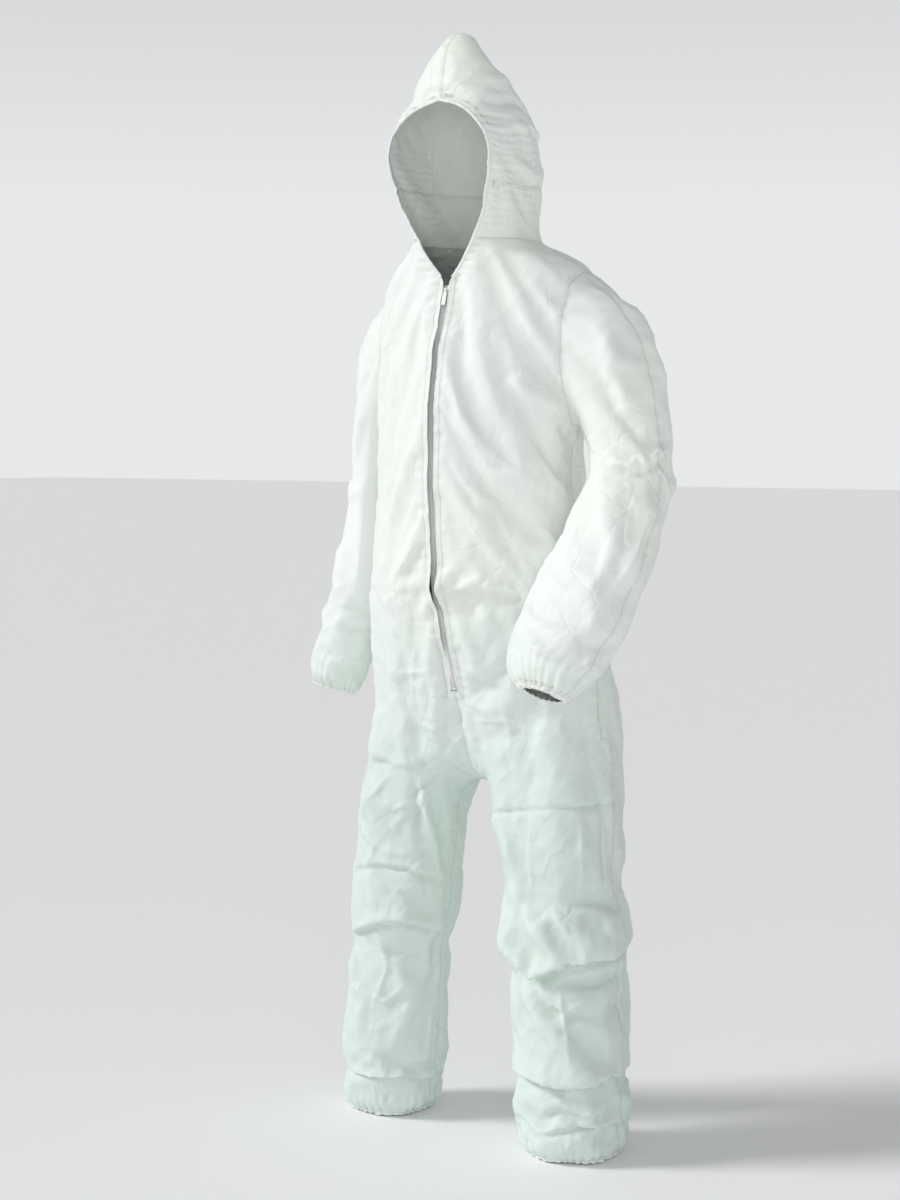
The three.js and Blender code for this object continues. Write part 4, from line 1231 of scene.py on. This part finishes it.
def fabric_material():
    """The suit's thin white nonwoven: pressed fibres, fine creases, and stitched seams."""
    m = Shader("nonwoven")
    where = m.add("ShaderNodeTexCoord").outputs["Object"]
    # The shade attribute is the colour from colours(), with its painted shade and painted light.
    shade = m.add("ShaderNodeAttribute", {"attribute_name": "shade"}).outputs["Color"]
    fibre = m.noise(1100.0, 4.0, where, 0.65)
    cloud = m.noise(9.0, 4.0, where, 0.55)
    patch = m.noise(55.0, 3.0, where)
    colour = m.mix(m.math("MULTIPLY", cloud, 0.20), shade, (0.88, 0.93, 0.925, 1), "MULTIPLY")
    colour = m.mix(m.ramp(fibre, 0.45, 0.8), colour, m.mix(1.0, colour, (0.93, 0.95, 0.945, 1), "MULTIPLY"))
    # Two rows of stitches beside each seam, and the edge of the turned cloth.
    seam = m.math("ABSOLUTE", m.value("seam"))
    line = m.math("SUBTRACT", 1.0, m.ramp(seam, 0.0003, 0.0011))
    aside = m.math("ABSOLUTE", m.math("SUBTRACT", seam, 0.0034))
    row = m.math("SUBTRACT", 1.0, m.ramp(aside, 0.0002, 0.0006))
    bands = {"wave_type": "BANDS", "bands_direction": "DIAGONAL"}
    stitch = m.add("ShaderNodeTexWave", bands, Scale=95.0, Distortion=0.0)
    m.tree.links.new(where, stitch.inputs["Vector"])
    thread = m.math("MULTIPLY", row, m.ramp(stitch.outputs["Fac"], 0.25, 0.6))
    colour = m.mix(m.math("MULTIPLY", line, 0.30), colour, (0.60, 0.66, 0.55, 1), "MULTIPLY")
    m.into(m.surface, "Base Color", colour)
    m.into(m.surface, "Roughness", m.math("ADD", 0.50, m.math("MULTIPLY", patch, 0.16)))
    m.into(m.surface, "Sheen Weight", 0.12)
    m.into(m.surface, "Sheen Roughness", 0.45)
    m.into(m.surface, "Specular IOR Level", 0.38)
    # Crumples from the pack, a web of fine creases, and the fibres themselves.
    web = m.add("ShaderNodeTexVoronoi", {"feature": "DISTANCE_TO_EDGE"}, Scale=22.0, Randomness=1.0)
    warp = m.add("ShaderNodeVectorMath", {"operation": "ADD"})
    m.tree.links.new(where, warp.inputs[0])
    shake = m.add("ShaderNodeVectorMath", {"operation": "SCALE"}, Scale=0.035)
    wobble = m.add("ShaderNodeTexNoise", Scale=14.0, Detail=3.0)
    m.tree.links.new(where, wobble.inputs["Vector"])
    m.tree.links.new(wobble.outputs["Color"], shake.inputs[0])
    m.tree.links.new(shake.outputs[0], warp.inputs[1])
    m.tree.links.new(warp.outputs[0], web.inputs["Vector"])
    crease = m.ramp(web.outputs["Distance"], 0.0, 0.10)
    ridged = {"noise_type": "RIDGED_MULTIFRACTAL"}
    crumple = m.add("ShaderNodeTexNoise", ridged, Scale=13.0, Detail=3.0, Roughness=0.55)
    m.tree.links.new(where, crumple.inputs["Vector"])
    normal = m.bump(crumple.outputs["Fac"], 0.0035, 0.22)
    normal = m.bump(m.math("MULTIPLY", crease, m.ramp(cloud, 0.40, 0.60)), 0.0012, 0.45, normal)
    normal = m.bump(m.math("SUBTRACT", m.math("MULTIPLY", thread, 0.6), line), 0.0007, 0.75, normal)
    normal = m.bump(fibre, 0.00025, 0.30, normal)
    m.into(m.surface, "Normal", normal)
    return m.material


def binding_material():
    """The bound edges: the same cloth folded over an elastic, ruched across."""
    m = Shader("binding")
    where = m.add("ShaderNodeTexCoord").outputs["Object"]
    fibre = m.noise(900.0, 3.0, where)
    pleat = m.noise(240.0, 2.0, where)
    # Darker in the low parts of the pleat pattern that also bumps the normal: painted shade in the ruching.
    m.into(m.surface, "Base Color", m.mix(pleat, (0.80, 0.83, 0.80, 1), (0.90, 0.92, 0.90, 1)))
    m.into(m.surface, "Roughness", m.math("ADD", 0.5, m.math("MULTIPLY", fibre, 0.2)))
    m.into(m.surface, "Sheen Weight", 0.15)
    m.into(m.surface, "Normal", m.bump(fibre, 0.0002, 0.4, m.bump(pleat, 0.0015, 0.6)))
    return m.material


def tape_material():
    """The zip's woven tape."""
    m = Shader("zip_tape_weave")
    where = m.add("ShaderNodeTexCoord").outputs["Object"]
    ribs = m.add("ShaderNodeTexWave", {"wave_type": "BANDS", "bands_direction": "Z"},
                 Scale=320.0, Distortion=0.4)
    cross = m.add("ShaderNodeTexWave", {"wave_type": "BANDS", "bands_direction": "X"},
                  Scale=260.0, Distortion=0.4)
    for node in (ribs, cross):
        m.tree.links.new(where, node.inputs["Vector"])
    weave = m.math("MULTIPLY", ribs.outputs["Fac"], cross.outputs["Fac"])
    m.into(m.surface, "Base Color", m.mix(weave, (0.84, 0.86, 0.83, 1), (0.93, 0.94, 0.92, 1)))
    m.into(m.surface, "Roughness", m.math("ADD", 0.62, m.math("MULTIPLY", weave, 0.2)))
    m.into(m.surface, "Normal", m.bump(weave, 0.0003, 0.6))
    return m.material


def nylon_material(name, colour, rough):
    """Moulded nylon, with the faint flow marks of the mould."""
    m = Shader(name)
    where = m.add("ShaderNodeTexCoord").outputs["Object"]
    flow = m.noise(180.0, 3.0, where)
    dark = tuple(c * 0.88 for c in colour[:3]) + (1,)
    m.into(m.surface, "Base Color", m.mix(flow, dark, colour))
    m.into(m.surface, "Roughness", m.math("ADD", rough, m.math("MULTIPLY", flow, 0.12)))
    m.into(m.surface, "Normal", m.bump(flow, 0.0002, 0.25))
    return m.material


def elastic_material():
    """A braided elastic: fine ribs along it, ruched by its own pull."""
    m = Shader("elastic_braid")
    where = m.add("ShaderNodeTexCoord").outputs["Object"]
    ribs = m.add("ShaderNodeTexWave", {"wave_type": "BANDS", "bands_direction": "Z"},
                 Scale=330.0, Distortion=1.0)
    m.tree.links.new(where, ribs.inputs["Vector"])
    cells = m.noise(420.0, 2.0, where)
    m.into(m.surface, "Base Color", m.mix(ribs.outputs["Fac"], (0.62, 0.63, 0.52, 1), (0.80, 0.80, 0.70, 1)))
    m.into(m.surface, "Roughness", m.math("ADD", 0.6, m.math("MULTIPLY", cells, 0.2)))
    m.into(m.surface, "Normal", m.bump(ribs.outputs["Fac"], 0.0004, 0.6))
    return m.material


def wear(obj, material):
    obj.data.materials.clear()
    obj.data.materials.append(material)


def colours(co, no, edges):
    """The cloth's colour at each point, with painted shade in it: near white above, darker and mint towards
    the legs (partly their tint, partly painted shade for less light), yellower and darker in the hollows as
    painted shade, a little lighter on the ridges as painted light.
    """
    z = co[:, 2]
    # hollow: how far each point lies in a valley of the cloth, below 0 on a ridge; it drives the painted
    # shade below.
    hollow = ((relax(co, edges, 14) - co) * no).sum(1) / 0.0016
    hollow = np.clip(hollow + 0.15 * ripple(co, 0.12, 71), -1, 1)[:, None]
    # Darker and mint towards the legs: partly the cloth's tint, partly painted shade where the legs get less
    # light.
    low = smooth(-0.45, -0.95, z)[:, None]
    upper, lower = np.array([0.880, 0.906, 0.898]), np.array([0.700, 0.785, 0.775])
    colour = upper * (1 - low) + lower * low
    # The yellow tint: uneven at random, painted shade in the hollows, and stronger at the crown of the hood.
    yellow_tint_and_shade = np.clip(0.5 + 0.5 * ripple(co, 0.35, 81), 0, 1)[:, None] * 0.5 + np.clip(hollow, 0, 1) * 0.22
    yellow_tint_and_shade = yellow_tint_and_shade + 0.5 * smooth(0.22, 0.30, z)[:, None]
    colour = colour * (1 - 0.07 * np.clip(yellow_tint_and_shade, 0, 1) * np.array([0.45, 0.15, 1.8]))
    # Painted shade: darker in the hollows; painted light: a little lighter on the ridges.
    colour = colour * (1 - 0.045 * np.clip(hollow, 0, 1)) * (1 + 0.02 * np.clip(-hollow, 0, 1))
    return np.hstack([np.clip(colour, 0, 0.95), np.ones((len(co), 1))])


# ------------------------------------------------------------------ making it

suit = make_base()
edges = edges_of(suit.data)
place = Place(coords(suit.data))
set_coords(suit.data, swell(coords(suit.data), normals(suit.data), place))
set_coords(suit.data, press(coords(suit.data), normals(suit.data), place, LARGE, 1.5))
for number, name in ((1, "left_arm"), (2, "right_arm")):
    layer = suit.data.attributes.new(name, "FLOAT", "POINT")
    layer.data.foreach_set("value", (place.limb == number).astype(np.float32))
before, after = hang(suit, place)
move = after - before
move -= 0.85 * relax(move, edges, 120)
share = np.array([0.95, 0.55, 0.60, 1.0, 1.0])[place.limb]
share = share * (1 - 0.45 * smooth(-0.02, 0.06, before[:, 2]))
set_coords(suit.data, before + capped(move * share[:, None], 0.014))
activate(suit)
mod = suit.modifiers.new("fine", "SUBSURF")
mod.levels = 1
bpy.ops.object.modifier_apply(modifier=mod.name)


def marks_of(mesh):
    found = {}
    for name in ("left_arm", "right_arm"):
        values = np.zeros(len(mesh.vertices), np.float32)
        mesh.attributes[name].data.foreach_get("value", values)
        found[name] = values
    return found


marks = marks_of(suit.data)
co = coords(suit.data)
place = Place(co, np.maximum(marks["left_arm"], marks["right_arm"]))
co = press(co, normals(suit.data), place, SMALL, 1.5)
set_coords(suit.data, co)
co = dress(co, normals(suit.data), place)
set_coords(suit.data, co)
cut_all(suit.data)
marks = marks_of(suit.data)
co = coords(suit.data)
place = Place(co, np.maximum(marks["left_arm"], marks["right_arm"]))
marks["seam"] = seam_gap(co, place)[0]
normal = normals(suit.data)
colour = colours(co, normal, edges_of(suit.data))
cloth = part_out(suit.data, marks, normal, colour)
bpy.data.objects.remove(suit)

fabric = fabric_material()
binding = binding_material()
nylon = nylon_material("coil_nylon", (0.93, 0.94, 0.92, 1), 0.30)

LEG_BLEND = {side: [np.array([SIGN[side] * 0.347, 0, -0.938]) * k for k in (0.822, 0.947)] for side in SIGN}


def blended(obj, a, b, start, end):
    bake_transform(obj)


for name, obj in cloth.items():
    wear(obj, fabric)
for name in PARTS[:4]:
    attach(cloth[name], "torso")
    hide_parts(name.replace("cloth", "panel"))
for name in PARTS[4:6]:
    blended(cloth[name], "torso", "hood", (0, 0, -0.006), (0, 0, 0.095))
    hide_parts(name.replace("cloth", "panel"), "collar")
for side in SIGN:
    top, lower = cloth[side + "_sleeve_top"], cloth[side + "_sleeve_lower"]
    way, (start, end) = SLEEVE_WAY[side], SLEEVE_SPLIT[side]
    blended(top, "torso", side + "_upper_sleeve", way * start, way * end)
    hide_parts(side + "_armhole_section", side + "_upper_sleeve_front", side + "_upper_sleeve_back")
    middle = np.array([f[0][:] for f in SLEEVE_STATIONS[side]]) * MM
    elbow = [middle[np.abs(middle[:, 2] - z).argmin()] for z in ELBOW_BLEND[side]]
    blended(lower, side + "_upper_sleeve", side + "_forearm", elbow[0], elbow[1])
    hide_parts(side + "_elbow_section", side + "_forearm_front", side + "_forearm_back")
    top, lower = cloth[side + "_leg_top"], cloth[side + "_leg_lower"]
    blended(top, "torso", side + "_thigh", *LEG_BLEND[side])
    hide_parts(side + "_hip_section", side + "_thigh_front", side + "_thigh_back")
    blended(lower, side + "_thigh", side + "_shin", (0, 0, -1.06), (0, 0, -1.20))
    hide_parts(side + "_knee_section", side + "_shin_front", side + "_shin_back")

# ------------------------------------------------------------------ edges, elastics and the zip

whole = bmesh.new()
for obj in cloth.values():
    whole.from_mesh(obj.data)
bmesh.ops.remove_doubles(whole, verts=whole.verts, dist=0.00002)
joined = bpy.data.meshes.new("joined")
whole.to_mesh(joined)
whole.free()


def edge_line(points, out, step, closed=True):
    """An edge's line with even steps, eased of its small kinks, with the way out at each point."""
    both = spread(np.hstack([points, out * 0.001]), step, closed)
    for _ in range(3):
        eased = (np.roll(both, 1, axis=0) + np.roll(both, -1, axis=0)) / 4 + both / 2
        if not closed:
            eased[0], eased[-1] = both[0], both[-1]
        both = eased
    way = both[:, 3:]
    return both[:, :3], way / np.linalg.norm(way, axis=1, keepdims=True)


def ruched(count, turns, share):
    """The swell of a binding from one gather to the next."""
    at = np.arange(count) / count * 2 * math.pi
    return 1 + share * np.sin(turns * at + 1.3 * np.sin(3 * at)) + 0.4 * share * np.sin(2.3 * turns * at)


def bound(name, line, wide, deep, gathers, share=0.16, closed=True):
    points, out = line
    points, out = edge_line(points, out, 0.0016, closed)
    obj = tube(name, points, wide, deep, out, closed, 12, ruched(len(points), gathers, share))
    wear(obj, binding)
    return obj


def pick_rim(x, z):
    """The closed edge whose middle is nearest."""
    return min(LINES, key=lambda line: abs(line[0][:, 0].mean() - x) + abs(line[0][:, 2].mean() - z))


def inner_band(name, line, away, aside, inside, wide):
    """A narrow elastic sewn inside an edge: aside from the edge along the cloth, and a little inside it."""
    points, out = edge_line(line[0], line[1], 0.0022, line[2])
    way = away(points)
    way = way - (way * out).sum(1, keepdims=True) * out
    way /= np.linalg.norm(way, axis=1, keepdims=True)
    count = np.arange(len(points))
    points = points + way * aside - out * (inside + 0.0004 * np.sin(count * 0.8))[:, None]
    obj = tube(name, points, wide, 0.0005, out, line[2], 8)
    wear(obj, braid)
    return obj


braid = elastic_material()
LINES = rims(joined)
front_points, front_out = pick_rim(0, -0.2)
bottom = int(front_points[:, 2].argmin())
front_points, front_out = np.roll(front_points, -bottom, axis=0), np.roll(front_out, -bottom, axis=0)
face = np.nonzero(front_points[:, 2] > -0.0645)[0]
face_edge = (front_points[face], front_out[face])
face_rim = bound("face_binding", face_edge, 0.0030, 0.0019, 110, 0.14, closed=False)
blended(face_rim, "torso", "hood", (0, 0, -0.006), (0, 0, 0.095))
face_middle = np.array([0.0, -0.15, 0.09])
face_band = inner_band(
    "face_elastic_braid", (*face_edge, False),
    lambda at: at - face_middle, 0.0085, 0.0024, 0.0040
)
blended(face_band, "torso", "hood", (0, 0, -0.006), (0, 0, 0.095))
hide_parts("face_elastic")
for name, span in (("a", slice(0, face[0] + 1)), ("b", slice(face[-1], None))):
    points, out = front_points[span], front_out[span]
    side = "left" if points[:, 0].mean() > 0 else "right"
    edge = bound("zip_facing_edge_" + side, (points, out), 0.0011, 0.0008, 12, 0.05, closed=False)
    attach(edge, "torso")
for side in SIGN:
    at = end_of(side)[0]
    cuff = bound(side + "_wrist_binding", pick_rim(at[0], at[2]), 0.0034, 0.0021, 34)
    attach(cuff, side + "_forearm")
    wrist = inner_band(side + "_wrist_elastic_braid", (*pick_rim(at[0], at[2]), True),
                       lambda p, way=end_of(side)[1]: np.tile(-way, (len(p), 1)), 0.0070, 0.0022, 0.0034)
    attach(wrist, side + "_forearm")
    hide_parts(side + "_wrist_elastic")
    hem = bound(side + "_ankle_binding", pick_rim(SIGN[side] * 0.19, -1.46), 0.0038, 0.0024, 52)
    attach(hem, side + "_shin")
    ankle = inner_band(side + "_ankle_elastic_braid", (*pick_rim(SIGN[side] * 0.19, -1.46), True),
                       lambda p: np.tile([0.0, 0.0, 1.0], (len(p), 1)), 0.0080, 0.0024, 0.0038)
    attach(ankle, side + "_shin")
    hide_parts(side + "_ankle_elastic")


def waist_line(count=420):
    """The waist elastic's line inside the cloth, from one side of the zip round the back to the other."""
    left, right, y0, depth, n = [v[0] for v in BODY_AT(np.array([WAIST_Z * MM]))]
    line, out = [], []
    for i in range(count):
        turn = 2 * math.pi * (0.035 + 0.93 * i / (count - 1)) - math.pi / 2
        half = left if math.cos(turn) > 0 else right
        x, y = half * squared(math.cos(turn), n), depth * squared(math.sin(turn), n)
        way = Vector((x / half**2, y / depth**2, 0)).normalized()
        pull = 16.0 + 0.9 * math.sin(i * 0.9) + 0.5 * math.sin(i * 0.37)
        level = WAIST_Z * MM + 0.0006 * math.sin(i * 0.5)
        line.append(((x - way.x * pull) * MM, (y0 + y - way.y * pull) * MM, level))
        out.append(tuple(way))
    return np.array(line), np.array(out)


line, out = waist_line()
belt = tube("waist_elastic_braid", line, 0.0045, 0.0007, out, closed=False, sides=10)
wear(belt, braid)
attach(belt, "torso")
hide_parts("waist_elastic")

for side in SIGN:
    half = coil("zip_coil_wound_" + side, SIGN[side])
    wear(half, nylon)
    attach(half, "torso")
    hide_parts("zip_coil_" + side)

weave = tape_material()
moulded = nylon_material("slider_nylon", (0.80, 0.83, 0.80, 1), 0.28)
for name, material in (
    ("zip_tape_left", weave), ("zip_tape_right", weave),
    ("zip_top_stop_left", moulded), ("zip_top_stop_right", moulded),
    ("zip_bottom_stop", moulded), ("zip_slider", moulded), ("zip_pull", moulded),
):
    node = bpy.data.objects[name]
    for place_in in node.material_slots:
        place_in.material = material

# ------------------------------------------------------------------ the studio

scene = bpy.context.scene
camera = bpy.data.objects.new("camera", bpy.data.cameras.new("camera"))
bpy.context.collection.objects.link(camera)
scene.camera = camera
camera.data.sensor_fit = "VERTICAL"
camera.data.sensor_height = 24
camera.data.lens = 43.9
turn, tilt = math.radians(33 + 1.04), math.radians(4.32)
back = Vector((math.sin(turn) * math.cos(tilt), -math.cos(turn) * math.cos(tilt), math.sin(tilt)))
camera.matrix_world = back.to_track_quat("Z", "Y").to_matrix().to_4x4()
camera.location = (1.9607, -3.0192, -0.310)

FLOOR = CAD_BOX[0][2] - 0.001
bm = bmesh.new()
bmesh.ops.create_grid(bm, x_segments=2, y_segments=2, size=40)
floor_mesh = bpy.data.meshes.new("studio_floor")
bm.to_mesh(floor_mesh)
bm.free()
floor = bpy.data.objects.new("studio_floor", floor_mesh)
floor.location.z = FLOOR
bpy.context.collection.objects.link(floor)
paper = Shader("paper_floor")
paper.into(paper.surface, "Base Color", (0.97, 0.97, 0.97, 1))
paper.into(paper.surface, "Roughness", 0.9)
floor.data.materials.append(paper.material)


def softbox(name, location, aim, size, power):
    light = bpy.data.lights.new(name, "AREA")
    light.shape, light.size, light.energy = "DISK", size, power
    obj = bpy.data.objects.new(name, light)
    obj.location = location
    obj.rotation_euler = (Vector(location) - Vector(aim)).to_track_quat("Z", "Y").to_euler()
    bpy.context.collection.objects.link(obj)


sun = bpy.data.lights.new("window", "SUN")
sun.energy, sun.angle = 1.75, math.radians(16)
window = bpy.data.objects.new("window", sun)
window.rotation_euler = Vector((-0.62, -0.45, 0.55)).to_track_quat("Z", "Y").to_euler()
bpy.context.collection.objects.link(window)
softbox("fill", (2.2, -3.4, -0.2), (0, 0, -0.5), 2.0, 22)
world = bpy.data.worlds.new("studio")
world.use_nodes = True
tree = world.node_tree
place_at = tree.nodes.new("ShaderNodeTexCoord")
split = tree.nodes.new("ShaderNodeSeparateXYZ")
fade = tree.nodes.new("ShaderNodeMapRange")
tree.links.new(place_at.outputs["Generated"], split.inputs[0])
tree.links.new(split.outputs["Z"], fade.inputs["Value"])
fade.inputs["From Min"].default_value = 0.10
fade.inputs["From Max"].default_value = 0.45
fade.inputs["To Min"].default_value = 0.82
fade.inputs["To Max"].default_value = 0.36
tree.links.new(fade.outputs[0], tree.nodes["Background"].inputs["Strength"])
tree.nodes["Background"].inputs["Color"].default_value = (0.98, 0.99, 1.0, 1)
scene.world = world
scene.view_settings.view_transform = "Standard"
